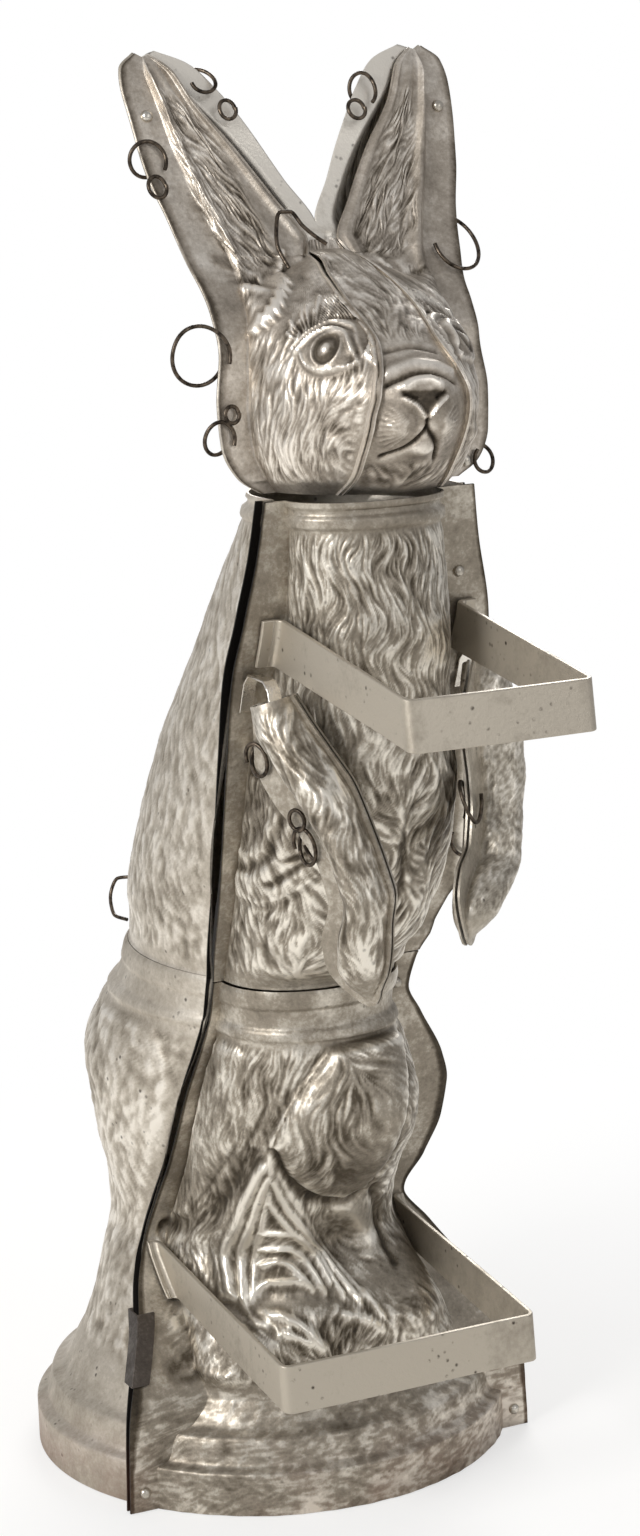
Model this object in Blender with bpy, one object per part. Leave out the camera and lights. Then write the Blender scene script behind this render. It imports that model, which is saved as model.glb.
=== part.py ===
"""Giant chocolate mould in the shape of a rabbit sitting up, as an assembly of pressed tinned sheets.

The body is two deep pressings front and back, each made of an upper and a lower stamping, that meet
at a flange all round. The head is a back shell, two cheek-and-ear shells and a snout shell. Each arm
is its own two-part mould. Two U-shaped strap brackets carry the filled mould on its back, and spring
wire clips pinch the flanges together.

Lengths are written in millimetres and turned into metres when a mesh is made. +X is the rabbit's
left, -Y is where it looks and +Z is up. Heights z are from the floor, and y is from the centre of
the round plinth until place() moves it into the frame whose origin is under the middle of the object.
"""

import math

import bmesh
import bpy
from mathutils import Vector

MM = 0.001
PLINTH_CENTRE_Y = 80.3  # from the frame's origin to the plinth's centre

SHEET = 1.6  # thickness of the pressed sheet
FIT_GAP = 0.4  # clearance between sheets that touch on the real mould
WIRE_RADIUS = 1.0
STRAP_HEIGHT = 24.0
STRAP_THICKNESS = 2.4
STRAP_GAP = 1.1  # from the curved flange to the straight foot
# half width, reach forwards, height of the top edge, lean downwards in degrees, length of the feet
UPPER_BRACKET = (48.8, 131.0, 473.1, 8.8, 9.0)
LOWER_BRACKET = (71.8, 158.0, 121.9, 6.4, 5.0)
PEG_RADIUS = 3.0
CLIP_CLEARANCE = 1.1
CLIP_STAND_OFF = 6.5  # of the forehead clip from the face
HOOK_THICKNESS = 1.2
HOOK_HALF_WIDTH = 3.5
BASE_CLIP_HEIGHTS = [66, 80, 94]  # the folded clip on the plinth's flange, at the shells' rows
BASE_CLIP_GRIP = 8.0
BASE_CLIP_THICKNESS = 1.0

PLINTH_RADIUS = 129.4
PLINTH_TOP = 54.0
WAIST_HEIGHT = 276.0  # joint between the lower and the upper stampings
NECK_HEIGHT = 531.0
CHIN_HEIGHT = 533.5

# Flange line: height, y of the parting surface, half width at the rabbit's right, at its left,
# and how far the two halves stand apart there.
FLANGE = [
    (0, -79, 118, 118, 2.5),
    (48, -79, 116, 116, 2.5),
    (84, -56, 100, 100, 2.5),
    (108, -26, 86, 88, 2.5),
    (123, -14, 77, 79, 2.5),
    (145, -22, 73, 88, 3.0),
    (170, -34, 69, 93, 3.5),
    (192, -44, 67, 92, 4.0),
    (210, -51, 65, 86, 4.5),
    (240, -64, 60, 67, 5.0),
    (257, -69, 57, 58, 5.5),
    (272, -74, 57, 60, 6.0),
    (291, -80, 58, 70, 6.5),
    (324, -94, 60, 80, 7.5),
    (400, -122, 65, 78, 8.0),
    (445, -140, 68, 72, 8.0),
    (473, -152, 66, 66, 8.0),
    (505, -159, 61, 58, 8.0),
    (531, -165, 59, 53, 8.0),
]

# Body: height, y of the back shell's centre, its half width, y of its back, y of the front shell's
# front, x of the front shell's middle, its half width.
BODY = [
    (0, 0, 129.4, 129.4, -129.4, 0, 102.5),
    (22, 0, 129.4, 129.4, -129.4, 0, 102.5),
    (25, 0, 124, 124, -124, 0, 96),
    (38, 0, 120, 120, -120, 0, 90),
    (41, 0, 114, 114, -114, 0, 84),
    (54, 1, 106, 107, -108, 0, 78),
    (66, 4, 98, 102, -104, 0, 75),
    (84, 10, 90, 100, -96, 0, 72),
    (108, 14, 82, 98, -76, 0, 67),
    (123, 16, 77, 98, -66, 0, 65),
    (145, 18, 76, 106, -80, 0, 61),
    (170, 20, 79, 116, -98, 0, 58),
    (192, 20, 82, 120, -112, 0, 57),
    (210, 20, 84, 120, -118, 0, 56),
    (240, 10, 77, 108, -116, -3, 50),
    (257, 0, 70, 92, -112, -5, 46),
    (276, -8, 66, 84, -116, -5, 46),
    (290, -14, 67, 82, -134, -4, 47),
    (306, -20, 69, 80, -150, -1, 50),
    (350, -50, 68, 64, -172, 2, 54),
    (390, -72, 65, 38, -188, 0, 53),
    (426, -92, 61, 8, -193, -3, 45),
    (468, -112, 56, -28, -197, -4, 41),
    (505, -130, 51, -60, -194, -6, 39),
    (531, -142, 49, -86, -192, -8, 38),
]
FRONT_ROUNDNESS = 2.2  # exponent of the front shell's cross-section; 2 is an ellipse

# Head: height, y of the parting surface, y of the nose line, depth of the back shell.
HEAD = [
    (533, -149, -190, 30),
    (541, -149, -201, 36),
    (550, -148, -210, 40),
    (560, -147, -219, 43),
    (570, -146.5, -225.5, 44),
    (580, -146, -228, 45),
    (591, -145, -222, 45),
    (603, -144, -209, 44),
    (618, -137, -193, 38),
    (630, -128, -178, 29),
    (640, -121, -158, 18),
    (648, -116, -136, 8),
    (656, -111.5, -114, 0),
    (664, -107.5, -107.5, 0),
    (676, -102, -102, 0),
    (692, -95.5, -95.5, 0),
    (708, -90, -90, 0),
    (724, -83, -83, 0),
    (744, -73, -73, 0),
]
HEAD_ROUNDNESS = 1.6  # the face is closer to a wedge than to an ellipse

# Seams beside the snout: height and distance from the middle.
SEAM = [
    (533, 28),
    (545, 26.5),
    (556, 27),
    (570, 27),
    (583, 25),
    (594, 21.5),
    (608, 17.5),
    (622, 18.5),
    (634, 16.5),
    (641, 13),
]
# Ribs of one half of the head, from the chin to the tip of the ear, as (x, z) of: the inner edge of
# the front shell above the seam, the back shell's inner edge, the relief's outer edge, the flange's.
HEAD_RIBS = [
    ((28, 533.5), (0, 533.5), (45, 533.5), (53, 533.5)),
    ((27, 541), (0, 541), (51, 541), (64, 541)),
    ((27, 556), (0, 556), (56, 556), (71, 556)),
    ((25, 576), (0, 576), (57, 576), (72, 576)),
    ((18, 600), (0, 600), (55, 601), (69, 601)),
    ((18, 620), (0, 622), (52, 622), (69, 623)),
    ((14, 640), (0, 640), (53, 641), (73, 643)),
    ((2.5, 647.5), (0, 657), (58, 658), (77, 662)),
    ((20, 668), (12, 679), (65, 680), (83, 684)),
    ((36, 693), (24, 701), (70, 701), (86, 706)),
    ((53, 716), (37, 721), (73, 719), (87.5, 724)),
    ((62, 733), (50, 735), (75, 731), (86, 734)),
    ((71, 740), (66, 741.5), (74, 739), (77.5, 741)),
]
CROWN_RIB = 7  # the rib along the top of the head
CROWN_HEIGHT = 656.0
EAR_ROOT = 5.5  # in ribs from the chin
EAR_TIP = 11.9
SEAM_RIM = 3.0  # height of the turned-up rim along the snout's seams
SNOUT_CLEARANCE = 3.9  # from the cheek's rim to the snout's
EAR_RIM = 9.0  # height of the ear's rim above the flange
EAR_HOLLOW = 3.0
EAR_BACK = 11.0  # depth of the ear's back

# Arms: shoulder, end of the flange round the paw, and how far the outer shell faces outwards from
# straight ahead. The rabbit's left arm hangs a little higher and shows more of its front.
RIGHT_ARM = ((-61.0, -169.5, 437.5), (-33.0, -204.0, 290.5), math.radians(62.0))
LEFT_ARM = ((58.5, -158.5, 439.5), (20.5, -208.0, 315.0), math.radians(42.0))
ARM_LENGTH = 150.5  # the length that the distances below are for
# distance along the arm, offset of its middle, half width, depth of the outer and inner shells,
# flange's edge
ARM = [
    (0, 0, 10.5, 12, 6, 13),
    (12, -2, 12.5, 15, 7, 17),
    (30, -9, 13, 17.5, 8, 22),
    (48, -16, 13, 18, 8.5, 17.5),
    (64, -20, 11, 17.5, 9, 9),
    (82, -22, 10.5, 17, 9, 3.5),
    (98, -22, 11, 17, 9, 4),
    (115, -13, 12.5, 16, 8, 14.5),
    (128, -7, 13, 12.5, 7, 17),
    (138, -4, 10, 7.5, 5, 12.5),
    (144, -3, 5, 2.5, 2.5, 7),
]
ARM_LIP = 2.5

TIN = ((0.50, 0.46, 0.40), 0.42, 0.9)
DULL_TIN = ((0.42, 0.40, 0.36), 0.5, 0.85)
BRACKET_STEEL = ((0.40, 0.37, 0.32), 0.6, 0.7)
DARK_WIRE = ((0.06, 0.05, 0.045), 0.45, 0.9)
PEG_METAL = ((0.50, 0.48, 0.44), 0.3, 1.0)


def clear_scene():
    for old in list(bpy.data.objects):
        bpy.data.objects.remove(old, do_unlink=True)


def metal(name, look):
    colour, roughness, metallic = look
    made = bpy.data.materials.new(name)
    made.use_nodes = True
    shader = made.node_tree.nodes["Principled BSDF"]
    shader.inputs["Base Color"].default_value = (*colour, 1.0)
    shader.inputs["Roughness"].default_value = roughness
    shader.inputs["Metallic"].default_value = metallic
    made.diffuse_color = (*colour, 1.0)
    return made


def smooth_row(rows, at):
    """The values of a table at one place, on a smooth curve that never overshoots its rows."""
    if at <= rows[0][0]:
        return list(rows[0][1:])
    if at >= rows[-1][0]:
        return list(rows[-1][1:])
    i = max(k for k in range(len(rows) - 1) if rows[k][0] <= at)
    low, high = rows[i], rows[i + 1]
    step = high[0] - low[0]
    t = (at - low[0]) / step
    found = []
    for k in range(1, len(low)):
        slope = (high[k] - low[k]) / step
        before = after = slope
        if i > 0:
            before = (low[k] - rows[i - 1][k]) / (low[0] - rows[i - 1][0])
        if i + 2 < len(rows):
            after = (rows[i + 2][k] - high[k]) / (rows[i + 2][0] - high[0])
        start = 2 * before * slope / (before + slope) if before * slope > 0 else 0.0
        end = 2 * after * slope / (after + slope) if after * slope > 0 else 0.0
        found.append(
            (2 * t**3 - 3 * t**2 + 1) * low[k]
            + (t**3 - 2 * t**2 + t) * step * start
            + (3 * t**2 - 2 * t**3) * high[k]
            + (t**3 - t**2) * step * end
        )
    return found


def spread(start, end, count):
    return [start + (end - start) * i / (count - 1) for i in range(count)]


def bump(x, z, centre, reach, height):
    """A round swelling of the relief, fading to nothing at its reach."""
    away = ((x - centre[0]) / reach[0]) ** 2 + ((z - centre[1]) / reach[1]) ** 2
    return height * math.exp(-1.6 * away)


def group(name, at, parent=None):
    """An empty that carries the pieces that move together."""
    holder = bpy.data.objects.new(name, None)
    bpy.context.collection.objects.link(holder)
    holder.parent = parent
    holder.location = place(at) - (world_place(parent) if parent else Vector())
    holder.empty_display_size = 0.03
    return holder


def place(point):
    """A point in millimetres from the plinth's centre, in metres in the object's frame."""
    return Vector((point[0], point[1] + PLINTH_CENTRE_Y, point[2])) * MM


def world_place(holder):
    found = holder.location.copy()
    while holder.parent:
        holder = holder.parent
        found += holder.location
    return found


def add_piece(name, points, faces, material, holder):
    """A mesh object from points in millimetres, with its origin on its holder's."""
    origin = world_place(holder)
    mesh = bpy.data.meshes.new(name)
    mesh.from_pydata([place(p) - origin for p in points], [], faces)
    mesh.materials.append(material)
    piece = bpy.data.objects.new(name, mesh)
    bpy.context.collection.objects.link(piece)
    piece.parent = holder
    return piece


def pressed_sheet(name, rows, material, holder, outward):
    """A shell from rows of points on its outer face; outward is a direction its front face looks."""
    across = len(rows[0])
    points = [p for row in rows for p in row]
    faces = []
    for i in range(len(rows) - 1):
        for j in range(across - 1):
            a = i * across + j
            faces.append((a, a + 1, a + across + 1, a + across))
    shell = add_piece(name, points, faces, material, holder)
    mesh = bmesh.new()
    mesh.from_mesh(shell.data)
    facing = sum((f.normal * f.calc_area() for f in mesh.faces), Vector())
    if facing.dot(Vector(outward)) < 0:
        bmesh.ops.reverse_faces(mesh, faces=mesh.faces)
    mesh.to_mesh(shell.data)
    mesh.free()
    thicken = shell.modifiers.new("sheet thickness", "SOLIDIFY")
    thicken.thickness = SHEET * MM
    thicken.offset = -1.0
    shell.data.shade_smooth()
    shell.data.set_sharp_from_angle(angle=math.radians(40))
    return shell


def pierce(shell, centres, radius):
    """Round holes through a shell along Y."""
    cutter_mesh = bmesh.new()
    origin = world_place(shell.parent)
    for centre in centres:
        made = bmesh.ops.create_cone(
            cutter_mesh,
            cap_ends=True,
            segments=12,
            radius1=radius * MM,
            radius2=radius * MM,
            depth=20 * MM,
        )
        middle = place(centre) - origin
        for v in made["verts"]:
            v.co = Vector((v.co.x, -v.co.z, v.co.y)) + middle
    mesh = bpy.data.meshes.new(shell.name + "_holes")
    cutter_mesh.to_mesh(mesh)
    cutter_mesh.free()
    cutter = bpy.data.objects.new(shell.name + "_holes", mesh)
    bpy.context.collection.objects.link(cutter)
    cutter.parent = shell.parent
    cutter.hide_render = True
    cutter.display_type = "WIRE"
    cut = shell.modifiers.new("peg holes", "BOOLEAN")
    cut.object = cutter
    cut.operation = "DIFFERENCE"


def parting_y(z):
    return smooth_row(FLANGE, z)[0]


def steepness(surface, z):
    """How much longer a sloping flange's thickness is when measured along Y."""
    return math.hypot(1.0, (surface(z + 1) - surface(z - 1)) / 2)


def body_stack(z):
    """From the face of the body's front flange to the face of its back flange, along Y."""
    return 2 * SHEET * steepness(parting_y, z) + smooth_row(FLANGE, z)[3]


def head_surface(z):
    return smooth_row(HEAD, z)[0]


def head_stack(z):
    return (2 * SHEET + FIT_GAP) * steepness(head_surface, z)


def leg_relief(x, z):
    """Thighs, feet and the tuft between them, standing out of the lower front shell."""
    thigh_left = bump(x, z, (24, 205), (38, 42), 16)
    thigh_right = bump(x, z, (-48, 190), (18, 42), 9)
    foot_left = bump(x, z, (50, 86), (24, 18), 14)
    foot_right = bump(x, z, (-62, 82), (18, 18), 10)
    tuft = bump(x, z, (-24, 125), (26, 46), 16)
    return thigh_left + thigh_right + foot_left + foot_right + tuft


def front_section(z, columns):
    """One row of the front shell: flange edge, relief from the right to the left, flange edge."""
    part_y, right_edge, left_edge, _ = smooth_row(FLANGE, z)
    _, radius, _, front_y, middle, half = smooth_row(BODY, z)
    row = [(-right_edge, part_y, z)]
    round_part = max(0.0, min(1.0, (z - PLINTH_TOP) / 14.0))
    chord_angle = math.acos(max(-1.0, min(1.0, -part_y / radius)))
    power = 2 / FRONT_ROUNDNESS
    for i in range(columns):
        turn = math.pi * i / (columns - 1)
        along, out = -math.cos(turn), math.sin(turn)
        angle = chord_angle * (2 * i / (columns - 1) - 1)
        round_x, round_y = radius * math.sin(angle), -radius * math.cos(angle)
        x = middle + half * math.copysign(abs(along) ** power, along)
        y = part_y - (part_y - front_y) * abs(out) ** power
        x = round_x + (x - round_x) * round_part
        y = round_y + (y - round_y) * round_part
        if 66 < z < WAIST_HEIGHT - 20:
            fade = min(1.0, (z - 66) / 14, (WAIST_HEIGHT - 20 - z) / 14)
            y -= leg_relief(x, z) * out**0.7 * fade
        row.append((x, min(y, part_y), z))
    row.append((left_edge, part_y, z))
    return row


def back_section(z, columns):
    """One row of the back shell: flange edge, the swelling back, flange edge."""
    part_y, right_edge, left_edge, _ = smooth_row(FLANGE, z)
    centre_y, half, back_y = smooth_row(BODY, z)[:3]
    flange_y = part_y + body_stack(z)
    depth = back_y - centre_y
    start = math.asin(max(-1.0, min(1.0, (centre_y - flange_y) / depth)))
    row = [(-right_edge, flange_y, z)]
    for i in range(columns):
        angle = -start + (math.pi + 2 * start) * i / (columns - 1)
        row.append((-half * math.cos(angle), centre_y + depth * math.sin(angle), z))
    row.append((left_edge, flange_y, z))
    return row


def bead(row, middle_y, amount):
    """The row pushed outwards from the body's middle, for a pressed ridge."""
    pushed = [row[0]]
    for x, y, z in row[1:-1]:
        length = math.hypot(x, y - middle_y)
        pushed.append((x * (1 + amount / length), y + (y - middle_y) * amount / length, z))
    pushed.append(row[-1])
    return pushed


LOWER_HEIGHTS = [0, 21, 25, 38, 41, 53, 66, 80, 94, 108, 123, 138, 154, 172, 192, 212, 230, 244]
UPPER_HEIGHTS = [286, 298, 312, 332, 356, 382, 410, 440, 470, 498, 516]


def body_rows(section, columns, heights, beads):
    """Rows at the given heights, and at each (height, how far the ridge stands out) of the beads."""
    rows = [(z, 0.0) for z in heights] + list(beads)
    made = []
    for z, out in sorted(rows):
        row = section(z, columns)
        middle_y = smooth_row(BODY, z)[0] if section is back_section else parting_y(z)
        made.append(bead(row, middle_y, out))
    return made


WAIST_BEADS = [(250, 0.0), (252.5, 2.2), (255.5, 2.2), (258, 0.0), (273, 1.5)]
WAIST_LAP = [(WAIST_HEIGHT - 0.35, 2.0)]
CHEST_START = [(WAIST_HEIGHT + 0.35, 0.0)]
NECK_BEAD = [(524, 0.0), (527, 2.4), (NECK_HEIGHT, 2.4)]


def make_body(front, back, tin, dull):
    front_lower = pressed_sheet(
        "body_front_lower",
        body_rows(front_section, 17, LOWER_HEIGHTS, WAIST_BEADS + WAIST_LAP),
        tin,
        front,
        (0, -1, 0),
    )
    pierce(front_lower, [PEGS[k] for k in ("waist", "base_left", "base_right")], 4.4)
    front_upper = pressed_sheet(
        "body_front_upper",
        body_rows(front_section, 15, UPPER_HEIGHTS, CHEST_START + NECK_BEAD),
        tin,
        front,
        (0, -1, 0),
    )
    pierce(front_upper, [PEGS["chest"]], 4.4)
    pressed_sheet(
        "body_back_lower",
        body_rows(back_section, 16, LOWER_HEIGHTS, WAIST_BEADS + WAIST_LAP),
        dull,
        back,
        (0, 1, 0),
    )
    pressed_sheet(
        "body_back_upper",
        body_rows(back_section, 14, UPPER_HEIGHTS, CHEST_START + NECK_BEAD),
        dull,
        back,
        (0, 1, 0),
    )


def strap_path(half_width, reach, corner, foot):
    """Half of the bracket's outline seen from above: (x, distance forward) from its foot inwards."""
    path = [(half_width + foot, 0.0), (half_width + 3, 0.0)]
    for i in range(4):
        turn = math.pi / 2 * i / 3
        path.append((half_width + 3 - 3 * math.sin(turn), 3 - 3 * math.cos(turn)))
    for i in range(5):
        turn = math.pi / 2 * i / 4
        path.append(
            (half_width - corner + corner * math.cos(turn), reach - corner + corner * math.sin(turn))
        )
    return path


def make_bracket(name, size, material, holder):
    """A U-shaped strap standing out from the front flange, its two feet bent outwards on it."""
    half_width, reach, top, lean, foot = size
    half = strap_path(half_width, reach, 5.0, foot)
    path = half + [(-x, d) for x, d in reversed(half)]
    lean = math.radians(lean)
    foot_y = -STRAP_GAP - STRAP_THICKNESS
    rings = []
    for i, (x, d) in enumerate(path):
        before, after = path[max(i - 1, 0)], path[min(i + 1, len(path) - 1)]
        run = Vector((after[0] - before[0], after[1] - before[1])).normalized()
        side = Vector((-run.y, run.x)) * STRAP_THICKNESS
        ring = []
        for depth, offset in ((0, 0), (0, 1), (-STRAP_HEIGHT, 1), (-STRAP_HEIGHT, 0)):
            px, pd = x + side.x * offset, d + side.y * offset
            on_flange = parting_y(top + depth) + foot_y - pd
            leaning = parting_y(top) + foot_y + depth * math.sin(lean) - pd * math.cos(lean)
            weight = min(1.0, max(0.0, (pd - 1.0) / (reach * 0.8)))
            y = on_flange + (leaning - on_flange) * weight
            ring.append((px, y, top + depth - pd * math.sin(lean)))
        rings.append(ring)
    loft(name, rings, material, holder)


def seam_x(z):
    return smooth_row(SEAM, z)[0]


def head_ribs(count):
    """Ribs of one half of the head from the chin to the ear's tip: (ear share, its four points)."""
    table = [(k, *(v for point in rib for v in point)) for k, rib in enumerate(HEAD_RIBS)]
    ribs = []
    for at in spread(0, len(HEAD_RIBS) - 1, count):
        v = smooth_row(table, at)
        inner_x = seam_x(v[1]) if v[1] <= SEAM[-1][0] else v[0]
        ribs.append([ear_share(at), (inner_x, v[1]), (v[2], v[3]), (v[4], v[5]), (v[6], v[7])])
    return ribs


def relief_half(z):
    """Half width of the face's relief at a height, from the ribs."""
    edge = [(rib[2][1], rib[2][0]) for rib in HEAD_RIBS[: CROWN_RIB + 1]]
    return smooth_row(edge, z)[0]


def ear_share(at):
    """0 below the ear's root, 1 along the ear and 0 again at its tip; at counts ribs."""
    return max(0.0, min(1.0, (at - EAR_ROOT) / 1.3, (EAR_TIP - at) / 1.1))


def ear_profile(across):
    """Height of the ear's front from its inner edge (0) to its outer edge (1): rim, hollow, rim."""
    rim = max(math.exp(-(((across - 0.2) / 0.13) ** 2)), math.exp(-(((across - 0.8) / 0.14) ** 2)))
    edge = min(1.0, 0.35 + across / 0.2, (1 - across) / 0.14)
    return (EAR_HOLLOW + (EAR_RIM - EAR_HOLLOW) * rim) * max(0.0, edge)


def face_depth(x, z):
    """How far the face stands in front of the parting surface."""
    part_y, nose_y, _ = smooth_row(HEAD, z)
    across = abs(x) / relief_half(z)
    if across >= 1 or z > CROWN_HEIGHT:
        return 0.0
    return (part_y - nose_y) * (1 - across**HEAD_ROUNDNESS) ** (1 / HEAD_ROUNDNESS)


def cheek_rows(side, ribs, columns):
    """Rows of a cheek-and-ear shell from its seam with the snout out to its flange."""
    rows = []
    for ear, inner, _, outer, edge in ribs:
        row = []
        for j in range(columns):
            across = j / (columns - 1)
            across = across + (math.sin(math.pi / 2 * across) - across) * (1 - ear)
            x = inner[0] + (outer[0] - inner[0]) * across
            z = inner[1] + (outer[1] - inner[1]) * across
            up = max(face_depth(x, z), ear_profile(across) * ear)
            row.append((side * x, head_surface(z) - up, z))
        x, y, z = row[0]
        if z < SEAM[-1][0] + 1:
            row.insert(0, (x, y - SEAM_RIM, z))
        else:
            row.insert(0, (x - side * 0.8, y, z + 0.5))
        row.append((side * edge[0], head_surface(edge[1]), edge[1]))
        rows.append(row)
    return rows


SNOUT_HEIGHTS = [CHIN_HEIGHT, 541, 550, 560, 570, 580, 589, 598, 608, 622, 634, 640.5]


def snout_rows(columns):
    """Rows of the snout shell, between its two turned-up rims."""
    rows = []
    for z in SNOUT_HEIGHTS:
        half = seam_x(z) - SNOUT_CLEARANCE
        row = [(x, head_surface(z) - face_depth(x, z), z) for x in spread(-half, half, columns)]
        row.insert(0, (-half, row[0][1] - SEAM_RIM, z))
        row.append((half, row[-1][1] - SEAM_RIM, z))
        rows.append(row)
    return rows


def head_back_rows(ribs, columns):
    """Rows of half the back of the head, from the middle or the V between the ears outwards."""
    rows = []
    for ear, front_edge, inner, outer, edge in ribs:
        row = []
        for j in range(columns):
            across = j / (columns - 1)
            x = inner[0] + (outer[0] - inner[0]) * across
            z = inner[1] + (outer[1] - inner[1]) * across
            depth = smooth_row(HEAD, z)[2]
            dome = 0.0
            if z < CROWN_HEIGHT and x < relief_half(z):
                dome = depth * math.sqrt(1 - (x / relief_half(z)) ** 2)
            start = (front_edge[0] - inner[0]) / (outer[0] - inner[0])
            inside = max(0.0, min(1.0, (across - start) / (1 - start)))
            hollow = EAR_BACK * math.sin(math.pi * inside) * ear
            row.append((x, head_surface(z) + head_stack(z) + max(dome, hollow), z))
        row.append((edge[0], head_surface(edge[1]) + head_stack(edge[1]), edge[1]))
        rows.append(row)
    return rows


def make_head(head, cheeks, snout_holder, tin, dull):
    ribs = head_ribs(23)
    for side, holder, label in ((-1, cheeks[0], "right"), (1, cheeks[1], "left")):
        rows = cheek_rows(side, ribs, 10)
        shell = pressed_sheet(f"head_{label}_cheek_and_ear", rows, tin, holder, (0, -1, 0))
        pierce(shell, [PEGS[f"{label}_ear"]] + ([PEGS["jaw"]] if label == "left" else []), 4.0)
    pressed_sheet("head_snout", snout_rows(8), tin, snout_holder, (0, -1, 0))
    half = head_back_rows(ribs, 9)
    back = pressed_sheet("head_back", half, dull, head, (0, 1, 0))
    mirror = back.modifiers.new("other half", "MIRROR")
    mirror.merge_threshold = 0.00005
    back.modifiers.move(len(back.modifiers) - 1, 0)


def arm_frame(side):
    """Shoulder and axes of an arm's parting plane: along it, to its broad flange, and off it.
    The right arm's broad flange points backwards and the left arm's points forwards."""
    top, tip, facing_angle = RIGHT_ARM if side < 0 else LEFT_ARM
    top, tip = Vector(top), Vector(tip)
    along = (tip - top).normalized()
    facing = Vector((side * math.sin(facing_angle), -math.cos(facing_angle), 0.0))
    facing = (facing - along * facing.dot(along)).normalized()
    across = along.cross(facing)
    if (across.y < 0) != (side > 0):
        across = -across
    return top, along, across, facing


def on_arm(side, s, t, n):
    """A point of an arm from its place along, across and off the parting plane."""
    top, along, across, facing = arm_frame(side)
    ends = RIGHT_ARM if side < 0 else LEFT_ARM
    length = (Vector(ends[1]) - top).length
    return tuple(top + along * s * length / ARM_LENGTH + across * t + facing * n)


ARM_STACK = 2 * SHEET + FIT_GAP


def arm_rows(side, outer, columns):
    """Rows of an arm's shell from its narrow lip over the relief to its broad flange."""
    rows = []
    lift = 0.0 if outer else -ARM_STACK
    for s in [0, 12, 30, 48, 64, 82, 98, 115, 128, 138, 144]:
        middle, half, depth_out, depth_in, edge = smooth_row(ARM, s)
        depth = depth_out if outer else -depth_in
        row = [(middle - half - ARM_LIP, lift)]
        for j in range(columns):
            turn = math.pi * j / (columns - 1)
            row.append((middle - half * math.cos(turn), lift + depth * math.sin(turn)))
        row.append((edge, lift))
        rows.append([on_arm(side, s, t, n) for t, n in row])
    for s, start, end in ((148, -8, 3), (150.5, -5, -1)):
        rows.append([on_arm(side, s, t, lift) for t in spread(start, end, columns + 2)])
    return rows


def make_arm_hook(side, label, material, holder):
    """A bright strip bent from the body's flange over into the top of the arm's mould."""
    top = arm_frame(side)[0]
    x = side * 59.0
    path = [(x, parting_y(z) - 0.5 - HOOK_THICKNESS, z) for z in (426, 434, 441)]
    path.append((x, path[-1][1] - 5.0, 445.5))
    path.append((top.x, top.y + 3.0, 445.5))
    path.append((top.x, top.y - 1.0, 442.0))
    path.append(on_arm(side, 6, -2, 2))
    rings = []
    wide = Vector((HOOK_HALF_WIDTH, 0.0, 0.0))
    for i, here in enumerate(path):
        before, after = Vector(path[max(i - 1, 0)]), Vector(path[min(i + 1, len(path) - 1)])
        thick = (after - before).cross(wide).normalized() * HOOK_THICKNESS
        here = Vector(here)
        rings.append([here - wide, here - wide + thick, here + wide + thick, here + wide])
    loft(f"{label}_arm_hook", rings, material, holder)


def loft(name, rings, material, holder):
    """A closed body through rings of points, each a closed loop with as many points."""
    around = len(rings[0])
    faces = []
    for i in range(len(rings) - 1):
        for k in range(around):
            a, b = i * around + k, i * around + (k + 1) % around
            faces.append((a, a + around, b + around, b))
    last = around * (len(rings) - 1)
    faces.append(tuple(range(around)))
    faces.append(tuple(last + k for k in reversed(range(around))))
    face_outwards(add_piece(name, [p for ring in rings for p in ring], faces, material, holder))


def face_outwards(piece):
    mesh = bmesh.new()
    mesh.from_mesh(piece.data)
    bmesh.ops.recalc_face_normals(mesh, faces=mesh.faces)
    mesh.to_mesh(piece.data)
    mesh.free()
    piece.data.shade_smooth()
    piece.data.set_sharp_from_angle(angle=math.radians(40))


def make_arm(side, label, arm, cover, tin, dull):
    facing = arm_frame(side)[3]
    pressed_sheet(f"{label}_arm_inner_shell", arm_rows(side, False, 7), dull, arm, -facing)
    pressed_sheet(f"{label}_arm_outer_shell", arm_rows(side, True, 7), tin, cover, facing)


PEGS = {
    "chest": (48, parting_y(488), 488),
    "waist": (50, parting_y(259), 259),
    "base_left": (109.5, parting_y(10), 10),
    "base_right": (-109.5, parting_y(10), 10),
    "jaw": (57, head_surface(541), 541),
    "right_ear": (-78.5, head_surface(711), 711),
    "left_ear": (78.5, head_surface(711), 711),
}


def make_peg(name, at, surface, stack, holder, material):
    """A domed peg: it stands on the back flange and comes through the hole in the front one."""
    x, front, z = at
    turns = [2 * math.pi * k / 10 for k in range(10)]
    foot = []
    for turn in turns:
        foot_z = z + PEG_RADIUS * math.sin(turn)
        foot_y = surface(foot_z) + stack(foot_z) - SHEET * steepness(surface, foot_z) - 0.2
        foot.append((x + PEG_RADIUS * math.cos(turn), foot_y, foot_z))
    rings = [foot]
    for radius, y in ((PEG_RADIUS, front - 1.0), (PEG_RADIUS * 0.55, front - 2.6)):
        rings.append([(x + radius * math.cos(t), y, z + radius * math.sin(t)) for t in turns])
    loft(name, rings, material, holder)


def make_pegs(back, head, material):
    for key, at in PEGS.items():
        if key in ("jaw", "right_ear", "left_ear"):
            make_peg(f"peg_{key}", at, head_surface, head_stack, head, material)
        else:
            make_peg(f"peg_{key}", at, parting_y, body_stack, back, material)


def wire(name, points, material, holder):
    curve = bpy.data.curves.new(name, "CURVE")
    curve.dimensions = "3D"
    curve.bevel_depth = WIRE_RADIUS * MM
    curve.bevel_resolution = 1
    curve.use_fill_caps = True
    curve.materials.append(material)
    spline = curve.splines.new("POLY")
    spline.points.add(len(points) - 1)
    origin = world_place(holder)
    for target, p in zip(spline.points, points):
        target.co = (*(place(p) - origin), 1.0)
    clip = bpy.data.objects.new(name, curve)
    bpy.context.collection.objects.link(clip)
    clip.parent = holder
    return clip


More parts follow.
